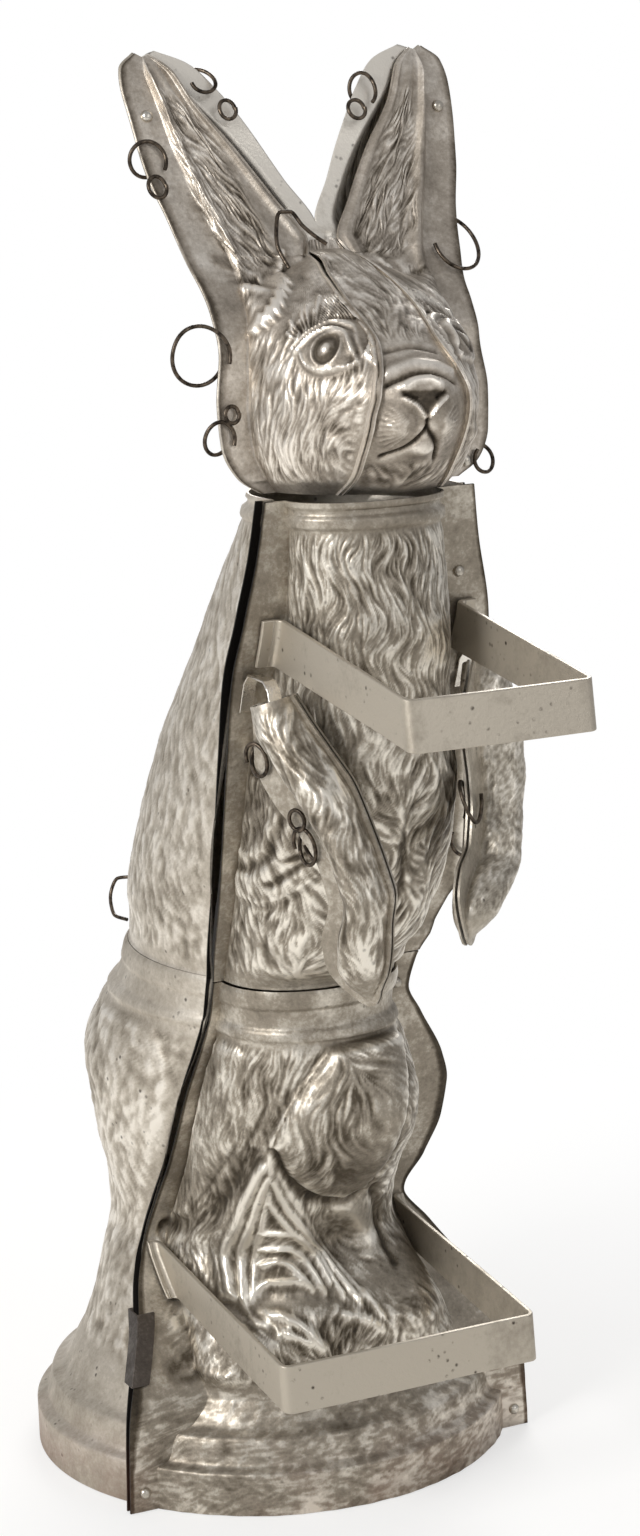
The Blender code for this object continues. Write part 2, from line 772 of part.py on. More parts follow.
def ring_path(centre, radii, out_angle, turns, count):
    """A spring ring in the flange's plane as (u, v, share): share runs from 0, in front of the
    flanges, to 1, behind them, and changes over on the side that hangs off the flanges' edge."""
    points = []
    start = out_angle - math.pi * turns
    for i in range(count):
        turn = start + 2 * math.pi * turns * i / (count - 1)
        share = max(0.0, min(1.0, 0.5 + (turn - out_angle) / math.pi))
        share = share * share * (3 - 2 * share)
        u = centre[0] + radii[0] * math.cos(turn)
        v = centre[1] + radii[1] * math.sin(turn)
        points.append((u, v, share))
    return points


def flange_clip(name, holder, material, shape, surface, stack):
    """A ring clip on the body or head; surface and stack give where the two flanges lie."""
    centre, radii, out_angle, turns = shape
    points = []
    for x, z, share in ring_path(centre, radii, math.radians(out_angle), turns, 18):
        clear = (WIRE_RADIUS + CLIP_CLEARANCE) * steepness(surface, z)
        front = surface(z) - clear
        behind = surface(z) + stack(z) + clear
        points.append((x, front + (behind - front) * share, z))
    wire(name, points, material, holder)


def arm_clip(name, side, holder, material, shape):
    """A ring clip on the flange of an arm's mould."""
    centre, radii, out_angle, turns = shape
    points = []
    clear = WIRE_RADIUS + CLIP_CLEARANCE
    for s, t, share in ring_path(centre, radii, math.radians(out_angle), turns, 16):
        off = clear + (-ARM_STACK - 2 * clear) * share
        points.append(on_arm(side, s, t, off))
    wire(name, points, material, holder)


# name: middle (x, z), radii, direction that hangs off the flange's edge in degrees, turns
HEAD_CLIPS = {
    "clip_right_ear_inner": ((-46, 727), (6.5, 5.5), 45, 1.2),
    "clip_right_ear_outer": ((-82, 691), (8.5, 8.5), 180, 1.2),
    "clip_left_ear_inner": ((39.5, 721), (5.5, 7.5), 150, 1.2),
    "clip_left_brow": ((71, 645), (12.5, 12.5), 0, 1.0),
    "clip_right_cheek": ((-79.5, 600), (14.0, 14.0), 180, 1.1),
    "clip_right_jaw": ((-73, 561), (7.0, 8.0), 190, 1.2),
    "clip_left_jaw": ((67.5, 541), (6.5, 6.5), -30, 1.1),
}
BODY_CLIPS = {
    "clip_flank": ((81, 342), (13.0, 13.0), 0, 1.05),
}
# name: side, middle (along, across), radii, direction off the edge in degrees, turns
ARM_CLIPS = {
    "clip_right_arm_upper": (-1, (25, 18.5), (8.0, 6.0), 90, 1.2),
    "clip_right_arm_lower": (-1, (70, 6.0), (9.0, 6.0), 90, 1.2),
    "clip_left_arm": (1, (76, 6.0), (11.0, 9.0), 90, 1.2),
}


FOREHEAD_CLIP = [
    (-4, 648),
    (-9, 652),
    (-14, 657),
    (-19, 664),
    (-24, 664),
    (-28, 657),
    (-30, 648),
    (-27.5, 638),
]
# place round the back shell in degrees, height from the middle, distance off the shell
BACK_EYE = [(142, -10, 0.3), (140, -9, 7), (136, 0, 10), (133, 9, 7), (131, 10, 0.3)]
BACK_EYE_HEIGHT = 293.0


def make_forehead_clip(holder, material):
    """A long wire staple over the front edge of the right ear's root."""
    points = []
    for x, z in FOREHEAD_CLIP:
        forward = max(face_depth(x, z), EAR_RIM) + CLIP_STAND_OFF
        points.append((x, head_surface(z) - forward, z))
    wire("clip_forehead", points, material, holder)


def make_back_eye(holder, material):
    """A wire eye standing off the back shell's right flank."""
    centre_y, half, back_y = smooth_row(BODY, BACK_EYE_HEIGHT)[:3]
    points = []
    for turn, rise, off in BACK_EYE:
        turn = math.radians(turn)
        out = 1 + (off + WIRE_RADIUS + FIT_GAP) / half
        x = half * math.cos(turn) * out
        y = centre_y + (back_y - centre_y) * math.sin(turn) * out
        points.append((x, y, BACK_EYE_HEIGHT + rise))
    wire("back_wire_eye", points, material, holder)


def make_base_clip(holder, material):
    """A strip of spring sheet folded over the edges of both flanges, low down at the right."""
    rings = []
    for z in BASE_CLIP_HEIGHTS:
        edge = smooth_row(FLANGE, z)[1]
        clear = 0.5 * steepness(parting_y, z)
        thick = BASE_CLIP_THICKNESS * steepness(parting_y, z)
        front = parting_y(z) - clear
        back = parting_y(z) + body_stack(z) + clear
        inner, fold = -(edge - BASE_CLIP_GRIP), -(edge + 1.0)
        outside = fold - BASE_CLIP_THICKNESS
        leaf = [(inner, front), (fold, front), (fold, back), (inner, back)]
        cover = [(inner, back + thick), (outside, back + thick)]
        cover += [(outside, front - thick), (inner, front - thick)]
        rings.append([(x, y, z) for x, y in leaf + cover])
    loft("clip_base", rings, material, holder)


def main():
    clear_scene()
    tin = metal("aged tin", TIN)
    dull = metal("dull tin", DULL_TIN)
    steel = metal("bracket steel", BRACKET_STEEL)
    dark = metal("dark spring wire", DARK_WIRE)
    peg_metal = metal("worn peg", PEG_METAL)
    front = group("front_half", (0, 0, 0))
    back = group("back_half", (0, 0, 200), front)
    head = group("head_half", (0, -146, 560), front)
    right_cheek = group("right_cheek_half", (-45, -146, 600), head)
    left_cheek = group("left_cheek_half", (45, -146, 600), head)
    snout = group("snout_half", (0, -180, 590), head)
    make_body(front, back, tin, dull)
    make_bracket("upper_bracket", UPPER_BRACKET, steel, front)
    make_bracket("lower_bracket", LOWER_BRACKET, steel, front)
    make_head(head, (right_cheek, left_cheek), snout, tin, dull)
    arms = {}
    for side, label in ((-1, "right"), (1, "left")):
        arms[side] = group(f"{label}_arm", arm_frame(side)[0], front)
        cover = group(f"{label}_arm_cover", arm_frame(side)[0], arms[side])
        make_arm(side, label, arms[side], cover, tin, dull)
        make_arm_hook(side, label, peg_metal, front)
    make_pegs(back, head, peg_metal)
    for name, shape in HEAD_CLIPS.items():
        x, z = shape[0]
        holder = group(name + "_pull", (x, head_surface(z), z), head)
        flange_clip(name, holder, dark, shape, head_surface, head_stack)
    for name, shape in BODY_CLIPS.items():
        x, z = shape[0]
        holder = group(name + "_pull", (x, parting_y(z), z), front)
        flange_clip(name, holder, dark, shape, parting_y, body_stack)
    for name, (side, *shape) in ARM_CLIPS.items():
        holder = group(name + "_pull", on_arm(side, *shape[0], 0.0), arms[side])
        arm_clip(name, side, holder, dark, shape)
    make_forehead_clip(group("clip_forehead_pull", (-14, head_surface(654), 654), head), dark)
    make_back_eye(back, dark)
    make_base_clip(group("clip_base_pull", (-100, parting_y(78), 78), front), dark)


main()
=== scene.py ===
"""Looks of a giant rabbit mould for chocolate: pressed tinned sheets, strap brackets, wire clips.

Lengths are millimetres from the centre of the round plinth, with +X at the rabbit's left, -Y where
it looks and +Z up. in_frame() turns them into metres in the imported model's frame.
"""

import math

import bmesh
import bpy
import numpy as np
from mathutils import Matrix, Vector


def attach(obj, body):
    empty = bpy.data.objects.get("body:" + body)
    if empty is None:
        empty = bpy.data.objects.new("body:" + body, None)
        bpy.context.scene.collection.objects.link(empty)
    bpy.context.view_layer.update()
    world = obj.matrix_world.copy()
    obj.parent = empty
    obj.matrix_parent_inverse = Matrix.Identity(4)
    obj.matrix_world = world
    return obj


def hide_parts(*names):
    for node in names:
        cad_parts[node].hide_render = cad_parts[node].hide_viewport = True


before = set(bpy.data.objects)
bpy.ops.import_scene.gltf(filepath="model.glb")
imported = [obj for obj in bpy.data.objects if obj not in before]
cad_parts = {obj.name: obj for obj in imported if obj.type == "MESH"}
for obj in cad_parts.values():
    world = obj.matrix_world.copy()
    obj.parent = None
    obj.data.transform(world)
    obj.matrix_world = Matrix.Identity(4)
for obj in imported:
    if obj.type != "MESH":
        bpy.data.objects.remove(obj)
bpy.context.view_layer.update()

# Camera: stands to the rabbit's right, at about the height of its ear tips and 1.7 metres from the
# mould's middle, and looks down a little, as for a studio picture.
MM = 0.001
PLINTH_CENTRE_Y = 80.3
CAMERA_PLACE = (-0.68895, -1.46476, 0.71403)
CAMERA_AZIMUTH = math.radians(25.35)
CAMERA_ELEVATION = math.radians(11.59)
CAMERA_ROLL = math.radians(-2.01)
LENS_LENGTH = 75.83


def put_in_scene(name, data):
    """A new object in the scene for a mesh, curve, lamp or lens."""
    made = bpy.data.objects.new(name, data)
    bpy.context.scene.collection.objects.link(made)
    return made


lens = bpy.data.cameras.new("studio_camera")
lens.sensor_fit = "VERTICAL"
lens.sensor_height = 36.0
lens.lens = LENS_LENGTH
camera = put_in_scene("studio_camera", lens)
backwards = Vector((
    -math.sin(CAMERA_AZIMUTH) * math.cos(CAMERA_ELEVATION),
    -math.cos(CAMERA_AZIMUTH) * math.cos(CAMERA_ELEVATION),
    math.sin(CAMERA_ELEVATION),
))
level = Vector((math.cos(CAMERA_AZIMUTH), -math.sin(CAMERA_AZIMUTH), 0.0))
upright = backwards.cross(level)
rightwards = math.cos(CAMERA_ROLL) * level + math.sin(CAMERA_ROLL) * upright
upwards = -math.sin(CAMERA_ROLL) * level + math.cos(CAMERA_ROLL) * upright
turned = Matrix((rightwards, upwards, backwards)).transposed().to_4x4()
turned.translation = Vector(CAMERA_PLACE)
camera.matrix_world = turned
bpy.context.scene.camera = camera


# Body: a front and a back half, each of an upper and a lower pressing of tinned steel sheet,
# soldered together at the waist. The halves part at a flange down both flanks. Fur is pressed into
# them, and the lower two end in a round plinth.
def linear(code):
    """A material's colour as linear light, from its sRGB hex code."""
    parts = [int(code[i : i + 2], 16) / 255 for i in (1, 3, 5)]
    parts = [c / 12.92 if c <= 0.04045 else ((c + 0.055) / 1.055) ** 2.4 for c in parts]
    return (*parts, 1.0)


def add_node(owner, kind, inputs=(), stops=(), **settings):
    """A shader node: inputs are (socket, value) or (socket, node, output), stops are a ramp's."""
    made = owner.node_tree.nodes.new(kind)
    for name, value in settings.items():
        setattr(made, name, value)
    for socket, value, *output in inputs:
        if output:
            owner.node_tree.links.new(value.outputs[output[0]], made.inputs[socket])
        else:
            made.inputs[socket].default_value = value
    for k, (place, colour) in enumerate(stops):
        stop = made.color_ramp.elements[k] if k < 2 else made.color_ramp.elements.new(place)
        stop.position = place
        stop.color = colour
    return made


def bare(owner):
    """A new material or world with its nodes cleared away."""
    owner.use_nodes = True
    owner.node_tree.nodes.clear()
    return owner


# The limits of a range, in the order in which they are given below.
RANGE = ("From Min", "From Max", "To Min", "To Max")


def tinned_sheet(name, colours, rough, metallic, stain=0.5, pits=0.5, rust=0.0):
    """Old tin plating on pressed steel: bright on the rubbed ridges, dark in the grooves, with
    cloudy stains, small dark pits and, low down where it stood in the damp, a little red rust."""
    material = bare(bpy.data.materials.new(name))
    dark, middle, bright = [linear(c) for c in colours]
    place = add_node(material, "ShaderNodeTexCoord")
    relief = add_node(material, "ShaderNodeAttribute", attribute_name="relief")
    tone = add_node(
        material, "ShaderNodeMath", [(0, relief, "Fac"), (1, 0.9), (2, -0.45)],
        operation="MULTIPLY_ADD",
    )
    # Stains about 60 mm wide, blotches of 13 mm, and a grain of 2.2 mm, which is coarser than the
    # real one so that it shows.
    noises = []
    for size, detail, roughness, share in (
        (60, 4.0, 0.6, stain), (13, 5.0, 0.7, 0.55), (2.2, 3.0, 0.7, 0.3),
    ):
        noise = add_node(
            material, "ShaderNodeTexNoise",
            [
                ("Vector", place, "Object"), ("Scale", 1000 / size), ("Detail", detail),
                ("Roughness", roughness),
            ],
        )
        noises.append(noise)
        tone = add_node(
            material, "ShaderNodeMath", [(0, noise, "Fac"), (1, share), (2, tone, "Value")],
            operation="MULTIPLY_ADD",
        )
    clouds, blotches, grains = noises
    # The near-black stop at 0 is painted shade: inner faces in the slot between two halves get a
    # tone below every groove's, so that they show black. The deepest grooves lean towards it too.
    base = add_node(
        material, "ShaderNodeValToRGB", [("Fac", tone, "Value")],
        stops=[(0.34, dark), (0.95, bright), (0.0, linear("#15110D")), (0.66, middle)],
    )
    spots = add_node(
        material, "ShaderNodeTexVoronoi",
        [("Vector", place, "Object"), ("Scale", 1000 / 5.5), ("Randomness", 1.0)],
    )
    # What lies on the plating: where its spots are, which of them show, and their colour.
    layers = [(
        (spots, "Distance"), (0.1, 0.24, 1.0, 0.0), (blotches, "Fac"), (0.5, 0.62, 0.0, pits),
        "#33291F",
    )]
    if rust:
        height = add_node(material, "ShaderNodeSeparateXYZ", [("Vector", place, "Object")])
        layers.append((
            (height, "Z"), (0.004, 0.045, rust, 0.0), (clouds, "Fac"), (0.42, 0.6, 0.0, 1.0),
            "#7A5140",
        ))
    colour = (base, "Color")
    for where, where_range, which, which_range, code in layers:
        spot, shown = [
            add_node(material, "ShaderNodeMapRange", [("Value", *value), *zip(RANGE, limits)])
            for value, limits in ((where, where_range), (which, which_range))
        ]
        amount = add_node(
            material, "ShaderNodeMath", [(0, spot, "Result"), (1, shown, "Result")],
            operation="MULTIPLY",
        )
        covered = add_node(
            material, "ShaderNodeMix",
            [("Factor", amount, "Value"), ("A", *colour), ("B", linear(code))], data_type="RGBA",
        )
        colour = (covered, "Result")
    gloss = add_node(
        material, "ShaderNodeMapRange",
        [("Value", tone, "Value"), *zip(RANGE, (0.4, 0.95, rough + 0.18, rough - 0.08))],
    )
    bump = add_node(
        material, "ShaderNodeBump",
        [("Height", grains, "Fac"), ("Strength", 0.5), ("Distance", 0.0004)],
    )
    shader = add_node(
        material, "ShaderNodeBsdfPrincipled",
        [
            ("Base Color", *colour), ("Roughness", gloss, "Result"), ("Normal", bump, "Normal"),
            ("Metallic", metallic),
        ],
    )
    add_node(material, "ShaderNodeOutputMaterial", [("Surface", shader, "BSDF")])
    return material


# The front's plating is handled most: warm, with bright ridges. The back's is paler and duller.
front_tin = tinned_sheet(
    "tin_plated_steel_warm", ("#5A5144", "#9A9183", "#E8E1D4"), 0.42, 0.8, rust=0.3
)
back_tin = tinned_sheet(
    "tin_plated_steel_pale", ("#857C6E", "#B9B0A2", "#E6DFD3"), 0.46, 0.7, pits=0.8, rust=0.4
)

# Height, place of the parting along Y, reach of the right and of the left flange, and the gap
# between the two flanges.
FLANGE = [
    (0, -79, 118, 118, 2.5),
    (48, -79, 116, 116, 2.5),
    (84, -56, 100, 100, 2.5),
    (108, -26, 86, 88, 2.5),
    (123, -14, 77, 79, 2.5),
    (145, -22, 73, 88, 3.0),
    (170, -34, 69, 93, 3.5),
    (192, -44, 67, 92, 4.0),
    (210, -51, 65, 86, 4.5),
    (240, -64, 60, 67, 5.0),
    (257, -69, 57, 58, 5.5),
    (272, -74, 57, 60, 6.0),
    (291, -80, 58, 70, 6.5),
    (324, -94, 60, 80, 7.5),
    (400, -122, 65, 78, 8.0),
    (445, -140, 68, 72, 8.0),
    (473, -152, 66, 66, 8.0),
    (505, -159, 61, 58, 8.0),
    (531, -165, 59, 53, 8.0),
]
# Height, then the back's middle, half width and rear, then the front's foremost place, middle and
# half width.
BODY = [
    (0, 0, 129.4, 129.4, -129.4, 0, 102.5),
    (22, 0, 129.4, 129.4, -129.4, 0, 102.5),
    (25, 0, 124, 124, -124, 0, 96),
    (38, 0, 120, 120, -120, 0, 90),
    (41, 0, 114, 114, -114, 0, 84),
    (54, 1, 106, 107, -108, 0, 78),
    (66, 4, 98, 102, -104, 0, 75),
    (84, 10, 90, 100, -96, 0, 72),
    (108, 14, 82, 98, -76, 0, 67),
    (123, 16, 77, 98, -66, 0, 65),
    (145, 18, 76, 106, -80, 0, 61),
    (170, 20, 79, 116, -98, 0, 58),
    (192, 20, 82, 120, -112, 0, 57),
    (210, 20, 84, 120, -118, 0, 56),
    (240, 10, 77, 108, -116, -3, 50),
    (257, 0, 70, 92, -112, -5, 46),
    (276, -8, 66, 84, -116, -5, 46),
    (290, -14, 67, 82, -134, -4, 47),
    (306, -20, 69, 80, -150, -1, 50),
    (350, -50, 68, 64, -172, 2, 54),
    (390, -72, 65, 38, -188, 0, 53),
    (426, -92, 61, 8, -193, -3, 45),
    (468, -112, 56, -28, -197, -4, 41),
    (505, -130, 51, -60, -194, -6, 39),
    (531, -142, 49, -86, -192, -8, 38),
]
# Height, and how far the rounded ridges below the waist and the neck stand out there.
BEADS = [
    (0, 0), (244, 0), (247, 0.3), (249.5, 2.2), (252.5, 2.2), (255, 0.7), (264, 0.7), (266, 2.2),
    (272, 2.6), (275.6, 1.6), (276.3, 0), (278, -0.4), (282, 0), (517, 0), (519, 2.2), (523, 2.6),
    (525, 0.6), (527, 0.6), (528.5, 2.4), (531, 2.6),
]
SHEET = 1.6
FRONT_ROUNDNESS = 2.2
PLINTH_TOP = 54.0
WAIST_HEIGHT = 276.0
NECK_HEIGHT = 531.0
FRONT_WAIST_GAP = 0.7
BACK_WAIST_GAP = 0.1
FUR_HEIGHTS = {"lower": (60, 244), "upper": (282, 517)}
FLANGE_COLUMNS = 12
FINE_SECTION = 500


def smooth_table(rows):
    """Smooth curves through a table's columns that never overshoot its rows, as a function of
    the first column."""
    table = np.array(rows, float)
    at, values = table[:, 0], table[:, 1:]
    step = np.diff(at)[:, None]
    slope = np.diff(values, axis=0) / step
    both = slope[:-1] * slope[1:]
    mean = 2 * both / np.where(both > 0, slope[:-1] + slope[1:], 1.0)
    tangent = np.vstack([slope[:1], np.where(both > 0, mean, 0.0), slope[-1:]])

    def read(where):
        where = np.clip(np.asarray(where, float), at[0], at[-1])
        k = np.clip(np.searchsorted(at, where, side="right") - 1, 0, len(at) - 2)
        t = ((where - at[k]) / step[k, 0])[..., None]
        wide = step[k]
        return (
            (2 * t**3 - 3 * t**2 + 1) * values[k]
            + (t**3 - 2 * t**2 + t) * wide * tangent[k]
            + (3 * t**2 - 2 * t**3) * values[k + 1]
            + (t**3 - t**2) * wide * tangent[k + 1]
        )

    return read


def ramp(past, width):
    """0 up to a border, and 1 from this width past it."""
    return np.clip(past / width, 0, 1)


def band(at, low, high, width):
    """1 between two places, fading to 0 at each."""
    return ramp(np.minimum(at - low, high - at), width)


def run_along(points):
    """How far each point of a line lies from its first one, along the line."""
    return np.concatenate([[0.0], np.cumsum(np.linalg.norm(np.diff(points, axis=0), axis=1))])


def steepness(surface, z):
    """How much farther it is along Y than square through a sheet that follows this surface."""
    return np.hypot(1.0, (surface(z + 1.0) - surface(z - 1.0)) / 2)


flange_at = smooth_table(FLANGE)
body_at = smooth_table(BODY)
bead_at = smooth_table(BEADS)


def parting_y(z):
    """Where the body's two halves part, along Y."""
    return flange_at(z)[..., 0]


def body_stack(z):
    """From the face of the body's front flange to the face of its back flange, along Y."""
    return 2 * SHEET * steepness(parting_y, z) + flange_at(z)[..., 3]


def evenly(rows, count):
    """Each row of points again, with this many points at even spacing along it."""
    made = np.empty((len(rows), count, 3))
    for i, row in enumerate(rows):
        run = run_along(row)
        at = np.linspace(0, run[-1], count)
        for k in range(3):
            made[i, :, k] = np.interp(at, run, row[:, k])
    return made


def with_flanges(relief, right_edge, left_edge, count):
    """The relief's rows with flat flange columns out to the edges on both sides."""
    share = np.linspace(0, 1, count + 1)[None, :, None]
    right = right_edge[:, None, :] + (relief[:, :1] - right_edge[:, None, :]) * share
    left = relief[:, -1:] + (left_edge[:, None, :] - relief[:, -1:]) * share
    return np.concatenate([right[:, :-1], relief, left[:, 1:]], axis=1)


def bell(x, z, centre, reach, height):
    """A round swelling of the relief, fading to nothing at its reach."""
    away = ((x - centre[0]) / reach[0]) ** 2 + ((z - centre[1]) / reach[1]) ** 2
    return height * np.exp(-1.6 * away)


def leg_relief(x, z):
    """Thighs, feet and the tuft between them, standing out of the lower front shell."""
    return (
        bell(x, z, (24, 205), (38, 42), 16)
        + bell(x, z, (-48, 190), (18, 42), 9)
        + bell(x, z, (50, 86), (24, 18), 14)
        + bell(x, z, (-62, 82), (18, 18), 10)
        + bell(x, z, (-24, 125), (26, 46), 16)
    )


def body_grid(x, y, heights, middle_y, flange_y, columns):
    """The rows of a body shell: pushed out from its middle at the beads, made even, and with flat
    flanges on both sides."""
    away = np.hypot(x, y - middle_y)
    bead = bead_at(heights[:, None])[..., 0]
    x, y = x * (1 + bead / away), y + (y - middle_y) * bead / away
    relief = evenly(np.stack([x, y, heights[:, None] + 0 * x], axis=-1), columns)
    _, right, left, _ = flange_at(heights).T
    edges = [np.stack([reach, flange_y[:, 0], heights], axis=-1) for reach in (-right, left)]
    return with_flanges(relief, *edges, FLANGE_COLUMNS)


def front_grid(heights, columns):
    """The outer face of a front shell between two heights."""
    z = heights[:, None]
    part_y = parting_y(z)
    _, radius, _, front_y, middle, half = np.moveaxis(body_at(z), -1, 0)
    share = np.linspace(0, 1, FINE_SECTION)[None, :]
    turn = math.pi * share
    chord = np.arccos(np.clip(-part_y / radius, -1, 1)) * (2 * share - 1)
    power = 2 / FRONT_ROUNDNESS
    x = middle - half * np.sign(np.cos(turn)) * np.abs(np.cos(turn)) ** power
    y = part_y - (part_y - front_y) * np.sin(turn) ** power
    above_plinth = ramp(z - PLINTH_TOP, 14.0)
    x = radius * np.sin(chord) * (1 - above_plinth) + x * above_plinth
    y = -radius * np.cos(chord) * (1 - above_plinth) + y * above_plinth
    fade = band(z, PLINTH_TOP + 12, WAIST_HEIGHT - 20, 14)
    y = np.minimum(y - leg_relief(x, z) * np.sin(turn) ** 0.7 * fade, part_y)
    return body_grid(x, y, heights, part_y, part_y, columns)


def back_grid(heights, columns):
    """The outer face of a back shell between two heights."""
    z = heights[:, None]
    centre_y, half, back_y, *_ = np.moveaxis(body_at(z), -1, 0)
    flange_y = parting_y(z) + body_stack(z)
    depth = back_y - centre_y
    start = np.arcsin(np.clip((centre_y - flange_y) / depth, -1, 1))
    angle = -start + (math.pi + 2 * start) * np.linspace(0, 1, FINE_SECTION)[None, :]
    x, y = -half * np.cos(angle), centre_y + depth * np.sin(angle)
    return body_grid(x, y, heights, centre_y, flange_y, columns)


def normals_of(grid, outward):
    """Unit normals of a grid of points, on the side that faces outward."""
    down = np.gradient(grid, axis=0)
    across = np.gradient(grid, axis=1)
    normals = np.cross(down, across)
    normals /= np.maximum(np.linalg.norm(normals, axis=-1, keepdims=True), 1e-9)
    if (normals @ np.array(outward, float)).sum() < 0:
        normals = -normals
    return normals


def blurred(field, reach):
    """The field averaged over a square of cells, by running sums."""
    made = field
    for axis in (0, 1):
        padding = [(reach + 1, reach) if a == axis else (0, 0) for a in (0, 1)]
        total = np.cumsum(np.pad(made, padding, mode="edge"), axis=axis)
        width = 2 * reach + 1
        upper = np.take(total, range(width, total.shape[axis]), axis=axis)
        lower = np.take(total, range(0, total.shape[axis] - width), axis=axis)
        made = (upper - lower) / width
    return made


class Relief:
    """A pressed face while it is worked: its points, normals, pressed height, and shade, which
    says how much darker (below 0) or brighter its plating is than the height alone makes it: stains
    and mottling, and also painted shade in creases, slots and hollows and painted highlights."""

    def __init__(self, grid, outward):
        self.grid = grid
        self.normals = normals_of(grid, outward)
        self.height = np.zeros(grid.shape[:2])
        self.shade = np.zeros(grid.shape[:2])
        self.steps = [np.gradient(grid, axis=a) for a in (0, 1)]


def read_between(field, i, j):
    """The field's values at places between its cells."""
    low_i = np.minimum(i.astype(int), field.shape[0] - 2)
    low_j = np.minimum(j.astype(int), field.shape[1] - 2)
    u, v = i - low_i, j - low_j
    return (
        (field[low_i, low_j] * (1 - v) + field[low_i, low_j + 1] * v) * (1 - u)
        + (field[low_i + 1, low_j] * (1 - v) + field[low_i + 1, low_j + 1] * v) * u
    )


STRAND_STEP = 0.8
STRAY = 0.25


def combed(face, flow, length, coarseness, seed):
    """Strands of hair along the flow, about -1 in the grooves to 1 on the hairs: random grains
    drawn out to this length. coarseness widens the strands, which stray a little from the flow."""
    draw = np.random.default_rng(seed)
    grains = blurred(draw.normal(0, 1, face.height.shape), coarseness)
    stray = blurred(blurred(draw.normal(0, 1, face.height.shape), 4), 4)
    ahead = np.stack(np.broadcast_arrays(*flow(*np.moveaxis(face.grid, -1, 0))), axis=-1)
    ahead = ahead + np.cross(face.normals, ahead) * (stray * STRAY / stray.std())[..., None]
    down, across = face.steps
    a, b = (down * ahead).sum(-1), (across * ahead).sum(-1)
    dd, da, aa = (down * down).sum(-1), (down * across).sum(-1), (across * across).sum(-1)
    spread = np.maximum(dd * aa - da * da, 1e-6)
    step_i, step_j = (aa * a - da * b) / spread, (dd * b - da * a) / spread
    run = np.linalg.norm(down * step_i[..., None] + across * step_j[..., None], axis=-1)
    run = np.maximum(run, 1e-6) / STRAND_STEP
    step_i, step_j = step_i / run, step_j / run
    rows, columns = grains.shape
    count = max(int(length / 2 / STRAND_STEP), 1)
    total = grains.copy()
    for way in (-1, 1):
        i, j = np.indices(grains.shape, dtype=float)
        for k in range(1, count + 1):
            here = (np.rint(i).astype(int), np.rint(j).astype(int))
            i = np.clip(i + way * step_i[here], 0, rows - 1)
            j = np.clip(j + way * step_j[here], 0, columns - 1)
            total += read_between(grains, i, j) * (1 - k / (count + 1))
    total -= total.mean()
    total = np.tanh(total / total.std())
    return (total + blurred(total, 1)) / 2


def in_frame(points):
    """Points in millimetres from the plinth's centre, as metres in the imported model's frame."""
    return (np.asarray(points, float) + (0.0, PLINTH_CENTRE_Y, 0.0)) * MM


def link_piece(name, mesh, material, body, slot, *nodes):
    """A finished piece in the scene, riding on its CAD body and standing for its CAD nodes."""
    piece = put_in_scene(name, mesh)
    mesh.materials.append(material)
    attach(piece, body)
    if nodes:
        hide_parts(*nodes)
    return piece


# The sheet is shown about as thin as the real one looks, and its inner face with a third of the
# outer face's rows and columns.
SHEET_SHOWN = 1.1
INNER_STEP = 3
# Tones of the plating: 0 in a groove, 1 on a ridge that stands this far above it, plain where the
# sheet is level, and black in the slot between the two halves, as painted shade of that slot.
FULL_RELIEF = 3.2
PLAIN = 0.5
SLOT_SHADE = -1.0


def quads(first, rows, columns, flipped):
    """Faces of a grid of points whose numbers start at first."""
    number = first + np.arange(rows * columns).reshape(rows, columns)
    found = np.stack([number[:-1, :-1], number[:-1, 1:], number[1:, 1:], number[1:, :-1]], axis=-1)
    return (found[..., ::-1] if flipped else found).reshape(-1, 4).tolist()


def rim_of(first, rows, columns):
    """The numbers round the border of a grid of points, in order, without closing it."""
    number = first + np.arange(rows * columns).reshape(rows, columns)
    return np.concatenate([number[0, :-1], number[:-1, -1], number[-1, :0:-1], number[:0:-1, 0]])


def tones(face, full_relief):
    """How bright the plating is, from how far each point stands out of its surroundings."""
    return PLAIN + (face.height - blurred(face.height, 4)) / full_relief + face.shade


def mesh_of(name, points, faces, relief):
    """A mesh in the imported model's frame, with the tone of its plating at each point."""
    mesh = bpy.data.meshes.new(name)
    mesh.from_pydata(in_frame(points).tolist(), [], faces)
    mesh.attributes.new("relief", "FLOAT", "POINT").data.foreach_set("value", relief)
    return mesh


def lowest(height, reach):
    """The lowest height within this many cells of each cell."""
    for axis in (0, 1):
        height = np.min([np.roll(height, step, axis) for step in range(-reach, reach + 1)], axis=0)
    return height


def sheet_mesh(name, face, edges):
    """A closed mesh of one pressed sheet: the worked outer face, a coarser inner face and rims.
    edges is the tone of the inner face beside its two long edges: for the body's sheets it is
    black, as painted shade of the slot between the two halves."""
    outer = face.grid + face.normals * face.height[..., None]
    behind = lowest(face.height, INNER_STEP) - SHEET_SHOWN
    inner = (face.grid + face.normals * behind[..., None])[::INNER_STEP, ::INNER_STEP]
    turn = np.cross(outer[0, 1] - outer[0, 0], outer[1, 0] - outer[0, 0])
    flipped = turn @ face.normals[0, 0] < 0
    fine_grid, coarse_grid = (0, *outer.shape[:2]), (outer[..., 0].size, *inner.shape[:2])
    faces = quads(*fine_grid, flipped) + quads(*coarse_grid, not flipped)
    fine, coarse = rim_of(*fine_grid), rim_of(*coarse_grid)
    for k in range(len(coarse)):
        edge = [fine[(INNER_STEP * k + n) % len(fine)] for n in range(INNER_STEP + 1)]
        rim = (coarse[k], coarse[(k + 1) % len(coarse)], *reversed(edge))
        faces.append(rim[::-1] if flipped else rim)
    hidden = np.full(inner.shape[:2], PLAIN)
    hidden[:, :2] = hidden[:, -2:] = edges
    shown = np.clip(tones(face, FULL_RELIEF), 0, 1)
    points = np.concatenate([outer.reshape(-1, 3), inner.reshape(-1, 3)])
    mesh = mesh_of(name, points, faces, np.concatenate([shown.ravel(), hidden.ravel()]))
    mesh.shade_smooth()
    mesh.set_sharp_from_angle(angle=math.radians(50))
    return mesh


def pressed_piece(name, face, material, body, slot, node, edges=PLAIN):
    """A worked face as a finished sheet in the scene."""
    return link_piece(name, sheet_mesh(name, face, edges), material, body, slot, node)


